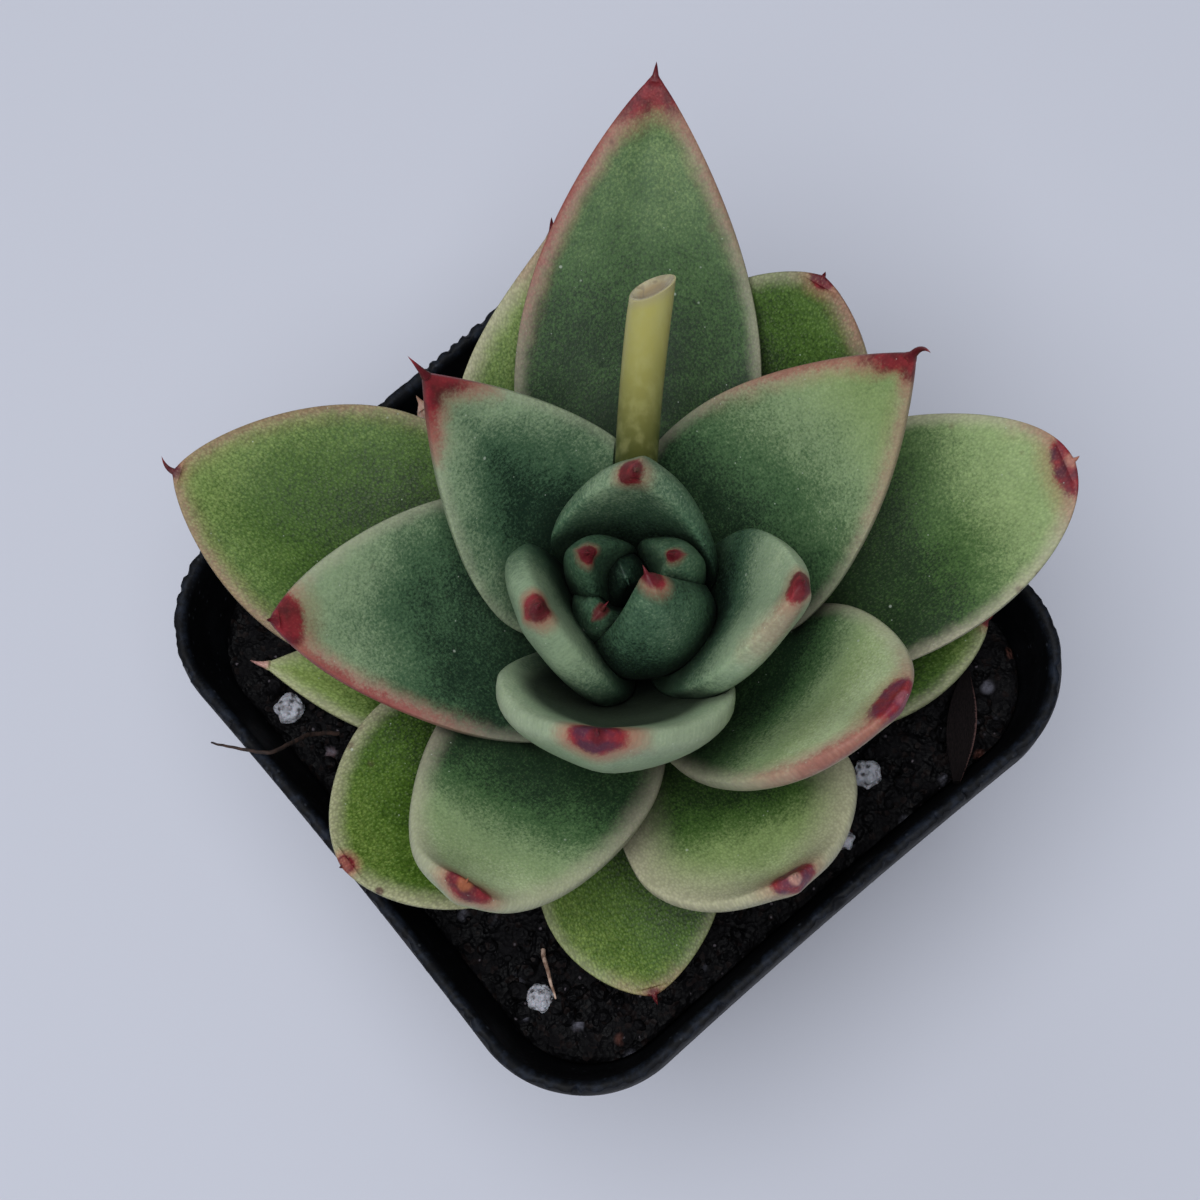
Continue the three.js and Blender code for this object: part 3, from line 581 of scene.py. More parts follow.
def leaf_material(number):
    look = {**USUAL_LOOK, **LOOKS[number]}
    g = Graph(f"leaf_skin_{number:02d}")
    place = g.attribute("leaf_place")
    across, _, face = g.split(place)
    margin, tip, share = g.split(g.attribute("leaf_measure"))
    openness, _, _ = g.split(g.attribute("leaf_open"))
    shift = (number * 17.3, number * 9.1, number * 3.7)
    where = g.scaled(g.where(), 1000, 1000, 1000, shift)
    age = look["age"]
    half_width = LEAVES[number - 1][4] / 2

    slow = g.noise(where, 0.17, 2)
    cloud = g.noise(where, 0.6, 3)
    fine = g.noise(where, 3.6, 4, 0.7)
    speckle = g.sub(fine, 0.5)
    wobble = g.mul(g.sub(g.noise(where, 0.8, 3), 0.5), 2.0)

    # Dark towards the foot and light towards the tip and the edges: partly the leaf's own green and
    # partly painted shade deep in the rosette and painted light on the tips, the brightest colour most
    # of all. `lit` paints light on one side, and the inner face gets painted shade in the hollow below
    start, stop, height = look["tone"]
    edge = g.ramp(margin, 0, 0.8 * half_width, 1, 0)
    lit = g.ramp(g.math("DIVIDE", across, half_width), -1, 1, -look["lit"], look["lit"])
    tone = g.ramp(share, start, stop, 0, height)
    for part, amount in ((edge, look["rim"]), (g.sub(slow, 0.5), 0.5), (g.sub(cloud, 0.5), 0.25),
                         (speckle, 1.4), (lit, 1)):
        tone = g.add(tone, g.mul(part, amount))
    light = mixed(age, *LIGHT)
    if look["warm"]:
        light = g.mix(g.ramp(share, 0.6, 0.85, 0, look["warm"]), light, mixed(min(1, age + 0.5), *LIGHT))
    g.colour = g.mix(g.ramp(tone, -0.1, 0.35), mixed(age, *DEEP), mixed(age, *MIDDLE))
    g.paint(g.ramp(tone, 0.25, 1.05), light)
    g.paint(g.ramp(tone, 1.0, 1.9), mixed(age, *BRIGHT))
    g.shade(g.add(g.ramp(fine, 0.3, 0.7, 0.42, 0.56), g.ramp(cloud, 0.3, 0.7, 0.48, 0.53)))
    # Painted shade darkens the inner face in the hollow
    if look["hollow"]:
        g.paint(g.mul(g.ramp(face, 0.0, 0.3), g.ramp(margin, 1.2, 3.6), look["hollow"]), (16, 30, 23))

    strength, width = look["pale"]
    border = g.ramp(g.add(margin, g.mul(wobble, 0.5)), 0.0, width, strength, 0)
    g.paint(g.mul(border, 0.85), mixed(age, *BORDER))

    plus, plus_run, minus, minus_run = look["red"]
    run = g.ramp(across, -0.3, 0.3, minus_run, plus_run)
    amount = g.ramp(across, -0.3, 0.3, minus, plus)
    reach = g.ramp(g.math("DIVIDE", g.add(tip, g.mul(wobble, 1.5)), run), 0.5, 1.1, 1, 0)
    uneven = g.add(margin, g.mul(wobble, 0.6))
    line = g.ramp(g.add(uneven, g.mul(speckle, 1.8)), 0.1, 1.1, 1, 0)
    halo = g.ramp(uneven, 0.4, 2.6, 0.6, 0)
    g.paint(g.mul(halo, reach, amount), (180, 120, 112))
    g.paint(g.mul(line, reach, amount, 0.8), (138, 50, 52))

    # Crimson, soft at its edge and with a flush round it: a round spot or the whole tip
    radius, _, _, plus, minus = look["spot"]
    red = g.mix(g.ramp(cloud, 0.35, 0.65), look["core"], CRIMSON)
    ragged = g.add(g.mul(wobble, 0.35), g.mul(speckle, 1.2))
    if radius:
        aside, otherwise, _ = g.split(g.attribute("leaf_spot"))
        stretch = g.ramp(aside, -0.5, 0.5, minus, plus)
        aside = g.math("DIVIDE", aside, stretch)
        spread = g.math("SQRT", g.add(g.math("POWER", aside, 2), g.math("POWER", otherwise, 2)))
        spread = g.add(spread, g.mul(ragged, 0.1 + 0.4 * radius))
        g.paint(g.ramp(spread, radius * 0.8, radius * 2.3, look["flush"], 0), (168, 112, 92))
        g.paint(g.ramp(spread, radius * 0.85, radius * 1.25, 0.94, 0), red)
    length, plus, minus = look["cap"]
    if length:
        inner = g.ramp(margin, 0, 0.3 * half_width, 0.6, 1)
        spread = g.add(g.mul(tip, inner, g.ramp(across, -1, 1, minus, plus)), g.mul(ragged, 2.0))
        g.paint(g.ramp(spread, length * 0.8, length * 1.9, look["flush"], 0), (160, 104, 90))
        g.paint(g.ramp(spread, length * 0.6, length * 1.2, 0.92, 0), red)
    if radius or length:
        g.paint(g.ramp(tip, 0.4, 1.0, 0.85, 0), look["point"])

    # Sparse dark dots near the edges, and specks of powder anywhere
    near = g.mul(g.ramp(margin, 1.0, 4.5, 1, 0), g.ramp(tip, 6, 20, 1, 0))
    dots = g.flecks(g.cells(where, 0.5), 0, look["dots"], 0.02, 0.12, 0.3)
    g.paint(g.mul(dots, near, 0.9), (76, 20, 34))
    for scale, rarity, size in ((0.45, 0.86, 0.09), (1.3, 0.86, 0.12)):
        speck = g.flecks(g.cells(where, scale), 1, rarity, 0.02, size * 0.4, size)
        g.paint(g.mul(speck, 0.55), (196, 206, 192))

    # Cells of the skin, in rows that show best on the old leaves
    rows = g.cells(g.scaled(place, 1.25, 0.85, 0.7, shift), 3.2)["Distance"]
    grain = g.add(g.mul(fine, 0.75 - 0.35 * age), g.mul(rows, 0.25 + 0.35 * age))
    g.paint(g.ramp(grain, 0.4, 0.62, 0, 0.12 + 0.14 * age), (20, 34, 14), "MULTIPLY")
    g.paint(g.ramp(grain, 0.25, 0.45, 0.05 + 0.07 * age, 0), (190, 205, 150), "SCREEN")
    # Painted shade: darker where other leaves close off the air in front of the leaf, except towards the tips
    # of the leaves outside the heart
    shade = g.ramp(openness, 0.05, 0.6, 0.2, 1)
    if number > HEART_LEAVES:
        shade = g.math("MAXIMUM", shade, g.ramp(share, 0.6, 0.9, 0, 0.95))
    g.shade(shade)
    normal = g.bump(g.sub(1, grain), 0.00005 + 0.00005 * age, 0.7)
    roughness = g.ramp(fine, 0.2, 0.8, 0.46, 0.6)
    return g.finish(roughness, normal, Subsurface_Weight=0.1, Subsurface_Scale=0.001,
                    Subsurface_Radius=(0.8, 1.0, 0.4), Specular_IOR_Level=0.3)


def dry_material():
    g = Graph("dry_leaf_skin")
    place = g.attribute("leaf_place")
    _, tip, share = g.split(g.attribute("leaf_measure"))
    folds = g.noise(g.scaled(place, 1.6, 0.25, 1), 1.0, 4)
    g.colour = g.mix(g.ramp(folds, 0.3, 0.7), (150, 138, 120), (206, 198, 186))
    g.paint(g.ramp(tip, 0.8, 3.5, 0.6, 0), (150, 96, 76))
    g.paint(g.ramp(share, 0.1, 0.5, 0.6, 0), (96, 78, 60))
    return g.finish(0.75, g.bump(folds, 0.0002, 0.8), Subsurface_Weight=0.15, Subsurface_Scale=0.001)


def sky_directions(count):
    """Directions spread evenly over a dome, denser towards its top."""
    k = np.arange(count) + 0.5
    turn = k * np.pi * (3 - np.sqrt(5))
    out = np.sqrt(k / count)
    return np.stack([out * np.cos(turn), out * np.sin(turn), np.sqrt(1 - out ** 2)], 1)


def leaf_openness(grids):
    """How much of the air in front of each point of the leaves is free of other leaves, for the shade painted
    into their colour.
    """
    points, faces = merged(loft_parts(grid) for grid in grids)
    tree = BVHTree.FromPolygons(points.tolist(), faces)
    dome = sky_directions(OPEN_RAYS)
    shares = []
    for grid in grids:
        out = unit(np.cross(np.roll(grid, -1, 1) - np.roll(grid, 1, 1), np.gradient(grid, axis=0)))
        side = unit(np.cross(out, [0.31, 0.17, 0.93]))
        over = np.cross(out, side)
        start = grid + out * OPEN_START
        free = np.zeros(grid.shape[:2])
        for x, y, z in dome:
            ways = side * x + over * y + out * z
            hits = [tree.ray_cast(p, d, OPEN_REACH)[3] for p, d in
                    zip(start.reshape(-1, 3).tolist(), ways.reshape(-1, 3).tolist())]
            free += np.array([1.0 if h is None else h / OPEN_REACH for h in hits]).reshape(free.shape)
        shares.append(free / len(dome))
    return shares


def resample(values, rings, sides):
    """Reads a ring grid of numbers at another count of rings and points."""
    rows, columns = values.shape
    at = np.linspace(0, rows - 1, rings)
    values = np.array([np.interp(at, range(rows), column) for column in values.T])
    at = np.arange(sides) / sides * columns
    return np.array([np.interp(at, range(columns), ring, period=columns) for ring in values.T])


def build_rosette():
    rows = [(f"leaf_{i:02d}", i, row) for i, row in enumerate(LEAVES, 1)]
    rows.append(("dry_leaf", DRY_LEAF_NUMBER, DRY_LEAF))
    shares = leaf_openness([leaf_grid(number, row, 0, *OPEN_GRID)[0] for _, number, row in rows])
    tools = [loft("grown_stem", stem_grid(GAP, 24, 1)), loft("grown_stalk", stalk_grid(GAP, 24, 24))]
    for (name, number, row), openness in zip(rows, shares):
        grid, place, measure = leaf_grid(number, row, -INSET, *FINE_GRID)
        openness = resample(openness, *grid.shape[:2]).ravel()
        openness = np.r_[openness, openness[0], openness[-1]]
        points, faces = loft_parts(grid)
        obj = make_object("fine_" + name, points, faces)
        low, high = points.min(0) * MM, points.max(0) * MM
        near = []
        for tool in tools:
            corners = np.array([c[:] for c in tool.bound_box])
            if (corners.max(0) > low).all() and (corners.min(0) < high).all():
                near.append(tool)
        if near:
            cut(obj, near)
        layers = {
            "leaf_place": place,
            "leaf_measure": measure,
            "leaf_open": np.repeat(openness[:, None], 3, 1),
        }
        dry = number == DRY_LEAF_NUMBER
        if not dry:
            layers["leaf_spot"] = spot_layer(points, place, measure, number)
        carry_over(obj, points, faces, layers)
        material = dry_material() if dry else leaf_material(number)
        finish_piece(obj, name, material)
        tools.append(loft("grown_" + name, leaf_grid(number, row, LEAF_CUT, *CUT_GRID)[0]))
    discard(tools)


# ---- stem and stalk ----

def stem_grid(grow, sides, between, scars=0):
    radii, heights = zip(*STEM_PROFILE)
    t = np.linspace(0, len(radii) - 1, (len(radii) - 1) * between + 1)
    radius = np.interp(t, range(len(radii)), radii) * STEM_RADIUS + grow
    height = np.interp(t, range(len(heights)), heights)
    height[0] -= grow
    height[-1] += grow
    angle = round_turn(sides)
    r = radius[:, None] * np.ones(sides)
    if scars:
        ring = np.abs(np.sin(height[:, None] * 1.9 + 1.5 * np.sin(angle)[None, :] + 2 * angle[None, :]))
        r = r - scars * (1 - ring) ** 3
    x, y = AXIS[0] + r * np.cos(angle), AXIS[1] + r * np.sin(angle)
    return np.stack([x, y, height[:, None] + 0 * x], -1)


def stalk_grid(grow, rings, sides, fine=False):
    a, b, c = (AXIS + out * heading(azimuth) + [0, 0, height] for azimuth, out, height in STALK_PATH)
    t = np.linspace(0, 1, 201)
    walked = walk(bezier((a, b, c), t))
    u = np.linspace(0, 1, rings)
    t = np.interp(u * walked[-1], walked, t)
    centre = bezier((a, b, c), t)
    t, u = t[:, None], u[:, None]
    along = unit(2 * (1 - t) * (b - a) + 2 * t * (c - b))
    across = unit(np.cross([0, 0, 1.0], along))
    over = np.cross(along, across)
    angle = round_turn(sides)
    radius = (STALK_RADIUS + grow) * np.ones((rings, sides))
    if fine:
        radius *= 1 + 0.02 * np.sin(3 * angle + 4 * u) - 0.03 * smooth(u, 0.93, 1)
    side, rise = radius * np.cos(angle), radius * np.sin(angle)
    push = -STALK_SLANT * u ** 4 * side + np.where(u == 1, grow, 0)
    parts = ((across, side), (over, rise), (along, push))
    return centre[:, None] + sum(way[:, None] * much[..., None] for way, much in parts)


def build_stem():
    g = Graph("stem_skin")
    where = g.where()
    bands = g.noise(g.scaled(where, 1, 1, 3), 500, 4, 0.6)
    g.colour = g.mix(g.ramp(bands, 0.35, 0.65), (72, 66, 40), (138, 142, 84))
    material = g.finish(0.7, g.bump(bands, 0.0002, 0.7))
    finish_piece(loft("fine_stem", stem_grid(0, 64, 14, STEM_SCARS)), "stem", material)


def build_stalk():
    rings, sides, inner = 90, 48, 8
    grid = stalk_grid(0, rings, sides, True)
    end = grid[-1]
    middle = end.mean(0)
    inward = unit(grid[-1].mean(0) - grid[-2].mean(0))
    caps = []
    for i in range(1, inner):
        t = i / inner
        sink = STALK_SINK * smooth(t, 0.1, 0.7) - STALK_RIDGE * math.exp(-((t - 0.08) / 0.1) ** 2)
        caps.append(lerp(end, middle, t) - inward * sink)
    grid = np.concatenate([grid, caps])
    points, faces = loft_parts(grid)
    obj = make_object("fine_flower_stalk", points, faces)
    share = np.r_[np.repeat(np.linspace(0, 1, rings), sides), np.ones((inner - 1) * sides), 0, 1]
    radial = np.r_[np.ones(rings * sides), np.repeat(1 - np.arange(1, inner) / inner, sides), 1, 0]
    stem = [loft("grown_stem", stem_grid(GAP, 24, 1))]
    cut(obj, stem)
    discard(stem)
    carry_over(obj, points, faces, {"stalk_place": np.stack([share, radial, 0 * share], 1)})

    g = Graph("stalk_skin")
    share, radial, _ = g.split(g.attribute("stalk_place"))
    where = g.where()
    fibres = g.noise(g.scaled(where, 1, 1, 0.25), 900, 3)
    blotch = g.noise(g.scaled(where, 1, 1, 0.4), 160, 2)
    # Dark green at the foot, pale straw at the dry top: the green is the stalk's own and its darkness at the
    # foot is partly painted shade from the leaves over it
    g.colour = g.mix(g.ramp(share, 0.4, 0.95), (46, 60, 18), (184, 178, 104))
    g.paint(g.ramp(fibres, 0.4, 0.7, 0, 0.3), (190, 188, 128))
    g.paint(g.ramp(blotch, 0.3, 0.8, 0, 0.2), (140, 136, 66))
    dried = g.mix(g.ramp(radial, 0.45, 0.8), (136, 106, 56), (176, 170, 136))
    crack = g.math("ABSOLUTE", g.sub(g.noise(where, 420, 2), 0.5))
    dried = g.mix(g.ramp(crack, 0.0, 0.035, 0.75, 0), dried, (58, 36, 20))
    dried = g.mix(g.ramp(g.noise(where, 1500, 4), 0.45, 0.6, 0, 0.4), dried, (92, 62, 32))
    g.paint(g.ramp(radial, 0.9, 0.98, 1, 0), dried)
    g.paint(g.ramp(share, 0.965, 1.0, 0, 0.55), (168, 158, 130))
    material = g.finish(0.42, g.bump(g.add(fibres, blotch), 0.00012, 0.5),
                        Subsurface_Weight=0.2, Subsurface_Scale=0.0015, Subsurface_Radius=(1, 0.9, 0.4))
    finish_piece(obj, "flower_stalk", material, 50)


# ---- pot ----

def square_ring(half, corner, height, bow):
    flat = half - corner
    arc = np.linspace(0, np.pi / 2, ARC_STEPS + 1)
    inner = flat * (1 - 2 * np.arange(1, SIDE_STEPS) / SIDE_STEPS)
    quarter = np.vstack([
        np.stack([flat + corner * np.cos(arc), flat + corner * np.sin(arc)], 1),
        np.stack([inner, half - bow * (1 - (inner / flat) ** 2)], 1),
    ])
    ring = np.vstack([quarter @ [[c, s], [-s, c]] for c, s, _ in circle(4)])
    return np.column_stack([ring, np.full(len(ring), height)])


def pot_ring(height, inset):
    level = height / WALL_TOP
    half = lerp(BASE_SIDE / 2, RIM_SIDE / 2 - RIM_LIP + WALL / 2, level) - inset
    corner = lerp(BASE_CORNER, RIM_CORNER - RIM_LIP + WALL / 2, level) - inset
    return square_ring(half, corner, height, SIDE_BOW * level)


def rim_ring(inset, height):
    return square_ring(RIM_SIDE / 2 - inset, RIM_CORNER - inset, height, SIDE_BOW)


def build_pot():
    rings = [square_ring(BASE_SIDE / 2 - BASE_EASE, BASE_CORNER - BASE_EASE, 0, 0)]
    for angle in (30, 60, 90):
        rise, inset, _ = BASE_EASE * (1 - heading(angle))
        rings.append(pot_ring(rise, inset))
    rings += [pot_ring(h, 0) for h in np.linspace(1.6, WALL_TOP, 34)]
    teeth_from = len(rings)
    rings += [rim_ring(0.25, WALL_TOP + 0.3), rim_ring(0, WALL_TOP + RIM_STEP)]
    rings += [rim_ring(0, h) for h in np.linspace(WALL_TOP + 1.2, POT_HEIGHT - RIM_EASE, 10)]
    rings += [rim_ring(0.1, POT_HEIGHT - 0.12), rim_ring(RIM_EASE, POT_HEIGHT)]
    rings += [rim_ring(i, POT_HEIGHT) for i in (0.5, 0.6, 0.7)]
    rounding = ((0.5, 0.1), (0.25, 0.35), (0.08, 0.65), (0, 1))
    rings += [rim_ring(RIM_LIP - inset, POT_HEIGHT - drop) for inset, drop in rounding]
    rings += [pot_ring(h, WALL) for h in np.linspace(WALL_TOP, FLOOR, 30)]
    grid = np.array(rings)
    # The lip's outer edge is torn into small teeth, and its top is not quite even
    count = grid.shape[1]
    loop = circle(count)
    rough = fbm(loop, 34, 3, 2.0)
    nick = np.clip(fbm(loop, 48, 2, 9.0), -1, 0)
    for i in range(teeth_from + 2, len(grid)):
        z = grid[i, :, 2]
        flat = np.abs(grid[i, :, :2]).max(1)
        outer = smooth(flat.max() * np.ones(count), RIM_SIDE / 2 - 1.2, RIM_SIDE / 2 - 0.2)
        high = smooth(z, POT_HEIGHT - 1.4, POT_HEIGHT - 0.2)
        inward = unit(np.column_stack([grid[i, :, :2], 0 * z]))
        depth = outer * high * (TEETH_LEAST + TEETH * np.abs(rough) + NICKS * np.abs(nick))
        grid[i] -= inward * depth[:, None]
        grid[i, :, 2] -= high * outer * TEETH * np.abs(nick)
    obj = loft("fine_pot", grid)
    drills = []
    for x in (-DRAIN_OFFSET, DRAIN_OFFSET):
        for y in (-DRAIN_OFFSET, DRAIN_OFFSET):
            ring = circle(32) * DRAIN_RADIUS + [x, y, 0]
            drills.append(loft("drill", np.array([ring + [0, 0, -2], ring + [0, 0, 4]])))
    cut(obj, drills)
    discard(drills)

    g = Graph("black_plastic")
    where = g.where()
    dust = g.noise(where, 260, 5, 0.65)
    scuff = g.noise(g.scaled(where, 1, 1, 0.3), 700, 4, 0.7)
    g.colour = g.mix(g.ramp(dust, 0.35, 0.75), (4, 5, 8), (9, 11, 16))
    fleck = g.flecks(g.cells(where, 1400), 0, 0.86, 0.02, 0.1, 0.35)
    g.paint(g.mul(fleck, 0.4), (70, 74, 82))
    height = g.split(where)[2]
    # The lip's top is lighter in scuffed patches: partly real wear and partly a painted highlight
    wear_and_highlight = g.mul(g.ramp(height, 0.0612, 0.0619), g.ramp(scuff, 0.4, 0.7))
    g.paint(g.mul(wear_and_highlight, 0.7), (32, 39, 52))
    roughness = g.ramp(dust, 0.3, 0.8, 0.55, 0.75)
    material = g.finish(roughness, g.bump(g.add(scuff, g.mul(fleck, 0.5)), 0.00012, 0.5),
                        Specular_IOR_Level=0.15)
    finish_piece(obj, "pot", material, 35)


# ---- soil ----

def soil_height(x, y):
    coarse = np.sin(0.55 * x + 1.2 * np.sin(0.4 * y)) * np.cos(0.6 * y + 0.7)
    fine = np.sin(1.9 * x + 0.5) * np.sin(2.3 * y + 0.3 * x)
    return SOIL_TOP + SOIL_BUMP * (coarse + fine) / 2


def icosphere(subdivisions):
    bm = bmesh.new()
    bmesh.ops.create_icosphere(bm, subdivisions=subdivisions, radius=1)
    points = np.array([v.co[:] for v in bm.verts])
    faces = [tuple(v.index for v in f.verts) for f in bm.faces]
    bm.free()
    return points, faces


def build_soil():
    side = [pot_ring(h, WALL + GAP) for h in (FLOOR + GAP, 14, 26, 38, 48, SOIL_TOP - SOIL_BUMP)]
    shares = np.linspace(1, 0, 75)[1:-1]
    top = np.vstack([side[-1] * [share, share, 1] for share in shares])
    top[:, 2] = soil_height(top[:, 0], top[:, 1])
    level = top * [1, 1, 0]
    crumble = fbm(level, 0.55, 4, 1.0) * 0.75 + np.abs(fbm(level, 1.6, 3, 5.0)) * 0.45
    top[:, 2] += crumble * smooth(np.repeat(1 - shares, len(side[-1])), 0, 0.03) - 0.15
    pieces = [loft_parts(np.concatenate([side, top.reshape(len(shares), -1, 3)]))]
    rng = np.random.default_rng(4)
    small, large = icosphere(2), icosphere(3)
    limit = RIM_SIDE / 2 - RIM_LIP - WALL - 1.6
    for i in range(CRUMBS):
        x, y = rng.uniform(-limit, limit, 2)
        size = CRUMB_LEAST + CRUMB_SPREAD * rng.random() ** 3.2
        outside = max(abs(x), abs(y)) > limit - size or abs(x) + abs(y) > 1.72 * limit
        if outside or math.hypot(x - AXIS[0], y - AXIS[1]) < STEM_CLEARANCE:
            continue
        base, faces = large if size > CRUMB_LARGE else small
        lump = base * rng.uniform(0.65, 1.2, 3)
        lump = lump * (1 + 0.35 * fbm(base, 1.6, 2, i * 0.37)[:, None]) * size
        turn = Matrix.Rotation(rng.uniform(0, 6.28), 3, Vector(rng.normal(size=3)))
        lump = lump @ np.array(turn)
        z = soil_height(x, y) + 0.25 * size + rng.uniform(-0.1, 0.25)
        pieces.append((lump + [x, y, z], faces))
    obj = make_object("fine_soil", *merged(pieces))

    g = Graph("potting_mix")
    where = g.where()
    lumps = g.noise(where, 420, 5, 0.65)
    grit = g.cells(where, 1900)
    # Near-black, lighter where the lumps rise: partly the soil's own mottle and partly a faint painted
    # highlight on the raised lumps
    g.colour = g.mix(g.ramp(lumps, 0.35, 0.72), (2, 2, 4), (10, 9, 12))
    warm = g.ramp(g.split(grit["Color"])[0], 0.86, 0.9)
    g.paint(g.mul(warm, 0.2), (46, 32, 28))
    scraps = g.cells(where, 520)
    scrap = g.flecks(scraps, 2, 0.965, 0.005, 0.1, 0.45)
    g.paint(g.mul(scrap, 0.6), (104, 66, 58))
    ash = g.flecks(scraps, 0, 0.9, 0.01, 0.1, 0.5)
    g.paint(g.mul(ash, g.ramp(lumps, 0.35, 0.55, 0.1, 0.8)), (104, 104, 116))
    pale = g.flecks(grit, 1, 0.97, 0.01, 0.15, 0.4)
    g.paint(g.mul(pale, 0.6), (120, 112, 120))
    roughness = g.ramp(lumps, 0.3, 0.8, 0.55, 0.95)
    material = g.finish(roughness, g.bump(g.add(lumps, grit["Distance"]), 0.0003, 0.8),
                        Specular_IOR_Level=0.15)
    finish_piece(obj, "soil", material, 60)


# ---- loose bits ----

PERLITE_RISE, THREAD_RADIUS, THREAD_SIDES = 0.35, 0.24, 10
PERLITE = [(-29.3, 18.2, 1.5), (-28.2, -21.6, 1.4), (11.5, -25.9, 1.5), (5.4, -29.4, 1.0)]
THREADS = {
    "rootlet": [(-27.0, 12.6, 53.3), (-29.0, 13.6, 56.0), (-30.8, 13.3, 59.5), (-32.9, 13.0, 62.6),
                (-34.5, 14.6, 62.75), (-36.0, 16.4, 62.6), (-37.1, 18.1, 61.4)],
    "straw": [(-25.0, -18.2, 52.9), (-25.9, -20.2, 54.4), (-27.0, -22.9, 54.9)],
}
HUSK_ENDS = [(26, -24.6, 53.2), (17.2, -32.6, 56)]
HUSK_LENGTH, HUSK_WIDTH, HUSK_THICKNESS = 12, 3, 0.8


def perlite_material():
    g = Graph("perlite_stone")
    where = g.where()
    pores = g.cells(where, 1100)["Distance"]
    dirt = g.noise(where, 900, 4, 0.6)
    g.colour = g.mix(g.ramp(dirt, 0.45, 0.75), (176, 178, 188), (96, 92, 94))
    # Painted shade darkens the hollows of the pores
    g.paint(g.ramp(pores, 0.1, 0.4, 0.9, 0), (40, 38, 40))
    return g.finish(0.9, g.bump(g.add(pores, dirt), 0.0002, 0.8), Subsurface_Weight=0.1,
                    Subsurface_Scale=0.0008)


def fibre_material(name, dark, light):
    g = Graph(name)
    where = g.where()
    grain = g.noise(where, 1300, 4, 0.6)
    g.colour = g.mix(g.ramp(grain, 0.35, 0.7), dark, light)
    return g.finish(0.8, g.bump(grain, 0.0001, 0.7))


def husk_material():
    g = Graph("dry_husk")
    along, aside, _ = g.split(g.attribute("husk_place"))
    veins = g.noise(g.join(g.mul(along, 1.5), g.mul(aside, 9), 0), 1.6, 4, 0.6)
    g.colour = g.mix(g.ramp(veins, 0.3, 0.7), (7, 5, 6), (26, 19, 20))
    ragged = g.mul(g.sub(g.noise(along, 3.0, 4, 0.7), 0.5), 0.5)
    g.paint(g.mul(g.ramp(g.add(aside, ragged), 0.84, 0.98), 0.8), (100, 74, 72))
    return g.finish(0.9, g.bump(veins, 0.00015, 0.8), Specular_IOR_Level=0.15)


def spline(points, steps):
    """Catmull-Rom curve through the points."""
    p = np.array(points, float)
    p = np.vstack([2 * p[0] - p[1], p, 2 * p[-1] - p[-2]])
    out = []
    for i in range(1, len(p) - 2):
        for t in np.linspace(0, 1, steps, endpoint=False):
            a, b, c, d = p[i - 1], p[i], p[i + 1], p[i + 2]
            square, cube = 2 * a - 5 * b + 4 * c - d, 3 * b - a - 3 * c + d
            out.append(0.5 * (2 * b + (c - a) * t + square * t * t + cube * t ** 3))
    out.append(p[-2])
    return np.array(out)


def tube(path, radius):
    along = unit(np.gradient(path, axis=0))
    across = unit(np.cross(along, [0.3, 0.2, 1.0]))
    over = np.cross(along, across)
    angle = -round_turn(THREAD_SIDES)[None, :, None]
    ring = np.cos(angle) * across[:, None] + np.sin(angle) * over[:, None]
    return path[:, None] + radius[:, None, None] * ring


def build_bits():
    stone = perlite_material()
    fibres = {"rootlet": fibre_material("dry_root", (26, 16, 14), (66, 46, 38)),
              "straw": fibre_material("dry_straw", (120, 92, 76), (206, 178, 160))}
    base, faces = icosphere(5)
    for i, (x, y, radius) in enumerate(PERLITE, 1):
        swell = 0.12 * np.sin(4 * base[:, 0] + x) * np.cos(5 * base[:, 1] + y)
        rough = 0.1 * fbm(base, 2.2, 4, i) - 0.12 * smooth(fbm(base, 4.5, 2, i + 20), 0.15, 0.4)
        points = base * (radius * (1 + swell + rough))[:, None] + [x, y, SOIL_TOP + PERLITE_RISE * radius]
        obj = make_object(f"fine_perlite_{i}", points, faces)
        finish_piece(obj, f"perlite_{i}", stone, 60)
    for name, points in THREADS.items():
        path = spline(points, 14)
        path = path + 0.12 * np.stack([fbm(path, 0.6, 2, k) for k in range(3)], 1)
        taper = THREAD_RADIUS * (1 - 0.6 * np.linspace(0, 1, len(path)) ** 2)
        finish_piece(loft("fine_" + name, tube(path, taper)), name, fibres[name], 60)


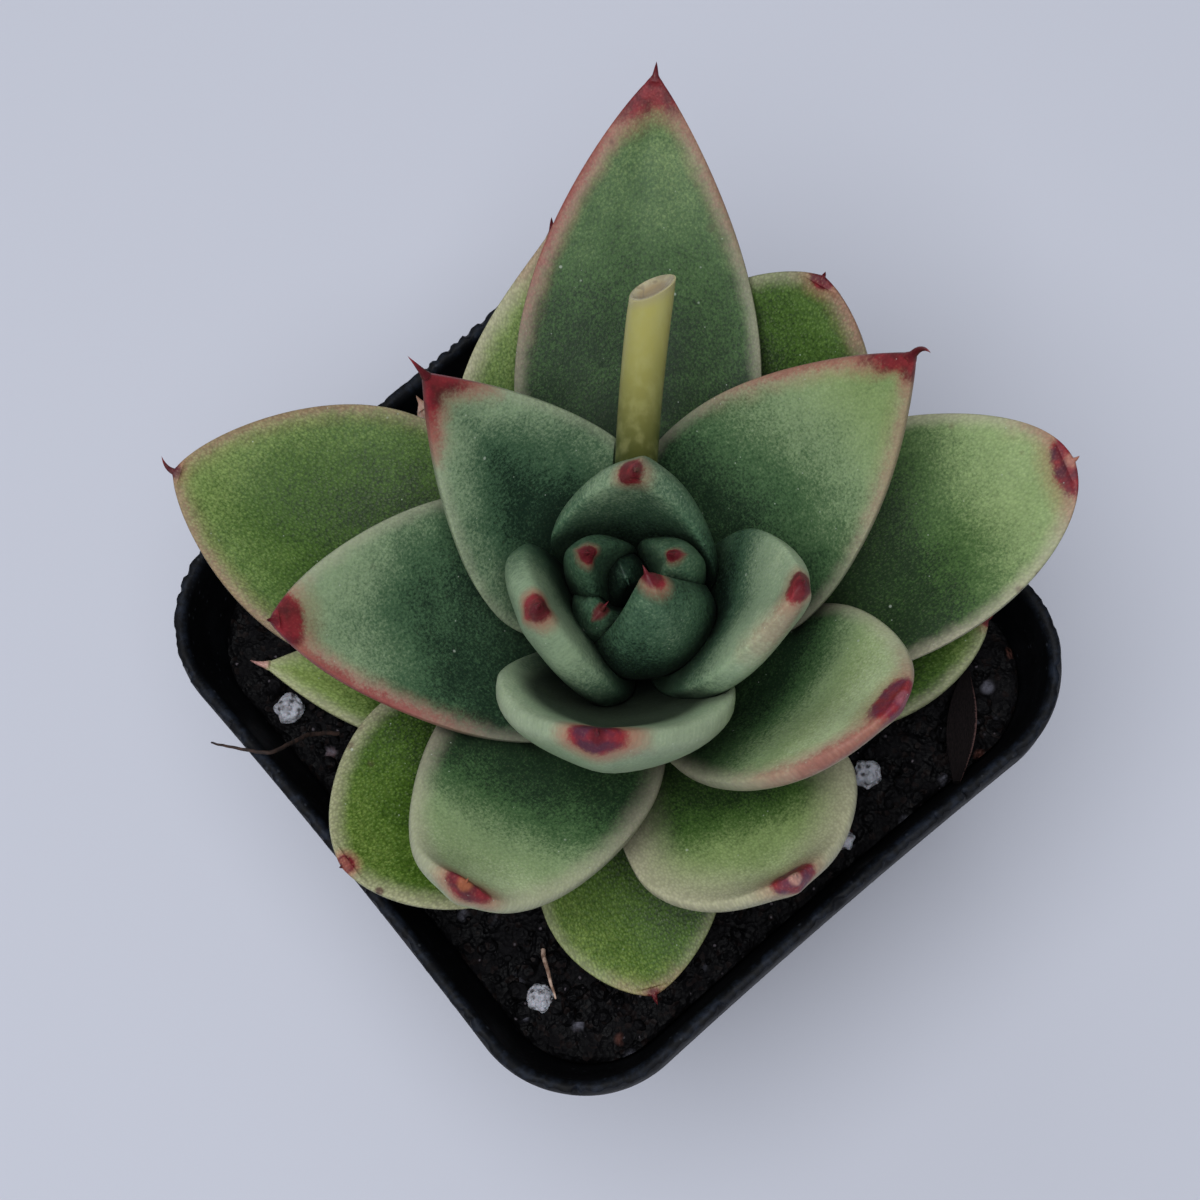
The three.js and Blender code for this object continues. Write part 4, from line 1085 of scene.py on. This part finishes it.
def build_husk():
    """A spindle of old leaf, cupped and wrinkled lengthwise."""
    start, end = np.array(HUSK_ENDS)
    along = unit(end - start)
    across = unit(np.cross([0, 0, 1.0], along))
    over = np.cross(along, across)
    rings, places = [], []
    angle = round_turn(36)
    for t in np.linspace(0, 1, 60):
        half = HUSK_WIDTH / 2 * (0.25 + 0.75 * math.sin(math.pi * t))
        side = half * np.cos(angle)
        wrinkle = 0.1 * np.sin(5 * side + 1.5 * math.sin(6 * t))
        lift = HUSK_THICKNESS / 2 * np.sin(angle) + 0.25 * half * np.cos(angle) ** 2 + wrinkle
        rings.append(lerp(start, end, t) + across * side[:, None] + over * lift[:, None])
        places.append(np.stack([HUSK_LENGTH * t + 0 * angle, np.cos(angle), 0 * angle], 1))
    husk = loft("fine_husk", np.array(rings))
    set_vector(husk, "husk_place", np.vstack(places + [[[0, 0, 0], [HUSK_LENGTH, 0, 0]]]))
    finish_piece(husk, "husk", husk_material(), 60)


# ---- floor, light and camera ----

def build_stage():
    corners = [(x * FLOOR_REACH, y * FLOOR_REACH, 0) for x, y in ((-1, -1), (1, -1), (1, 1), (-1, 1))]
    floor = make_object("floor", corners, [(0, 1, 2, 3)])
    g = Graph("pale_floor")
    g.colour = FLOOR_COLOUR
    floor.data.materials.append(g.finish(0.9))
    world = bpy.data.worlds.new("soft_sky")
    world.use_nodes = True
    sky = world.node_tree.nodes["Background"]
    sky.inputs["Color"].default_value = SKY_TINT
    sky.inputs["Strength"].default_value = SKY_STRENGTH
    scene = bpy.context.scene
    scene.world = world
    for name, (place, aim, size, power, tint) in LAMPS.items():
        data = bpy.data.lights.new(name, "AREA")
        data.shape = "DISK"
        data.size = size
        data.energy = power
        data.color = tint
        obj = bpy.data.objects.new(name, data)
        obj.location = place
        obj.rotation_euler = (Vector(aim) - Vector(place)).to_track_quat("-Z", "Y").to_euler()
        scene.collection.objects.link(obj)

    rise, out, _ = heading(CAMERA_TILT)
    back = Vector(out * heading(CAMERA_AZIMUTH) + [0, 0, rise])
    right = Vector(heading(CAMERA_UP)).cross(back).normalized()
    up = back.cross(right)
    data = bpy.data.cameras.new("photo_camera")
    data.sensor_width = SENSOR_WIDTH
    data.lens = FOCAL_PIXELS / PHOTO_SIDE * SENSOR_WIDTH
    camera = bpy.data.objects.new("photo_camera", data)
    rotation = Matrix((right, up, back)).transposed().to_4x4()
    place = (Vector(CAMERA_AIM) + back * CAMERA_DISTANCE) * MM
    camera.matrix_world = Matrix.Translation(place) @ rotation
    data.clip_start = 0.01
    scene.collection.objects.link(camera)
    scene.camera = camera
    scene.view_settings.view_transform = "Standard"


build_stage()
build_pot()
build_soil()
build_stem()
build_stalk()
build_rosette()
build_bits()
build_husk()
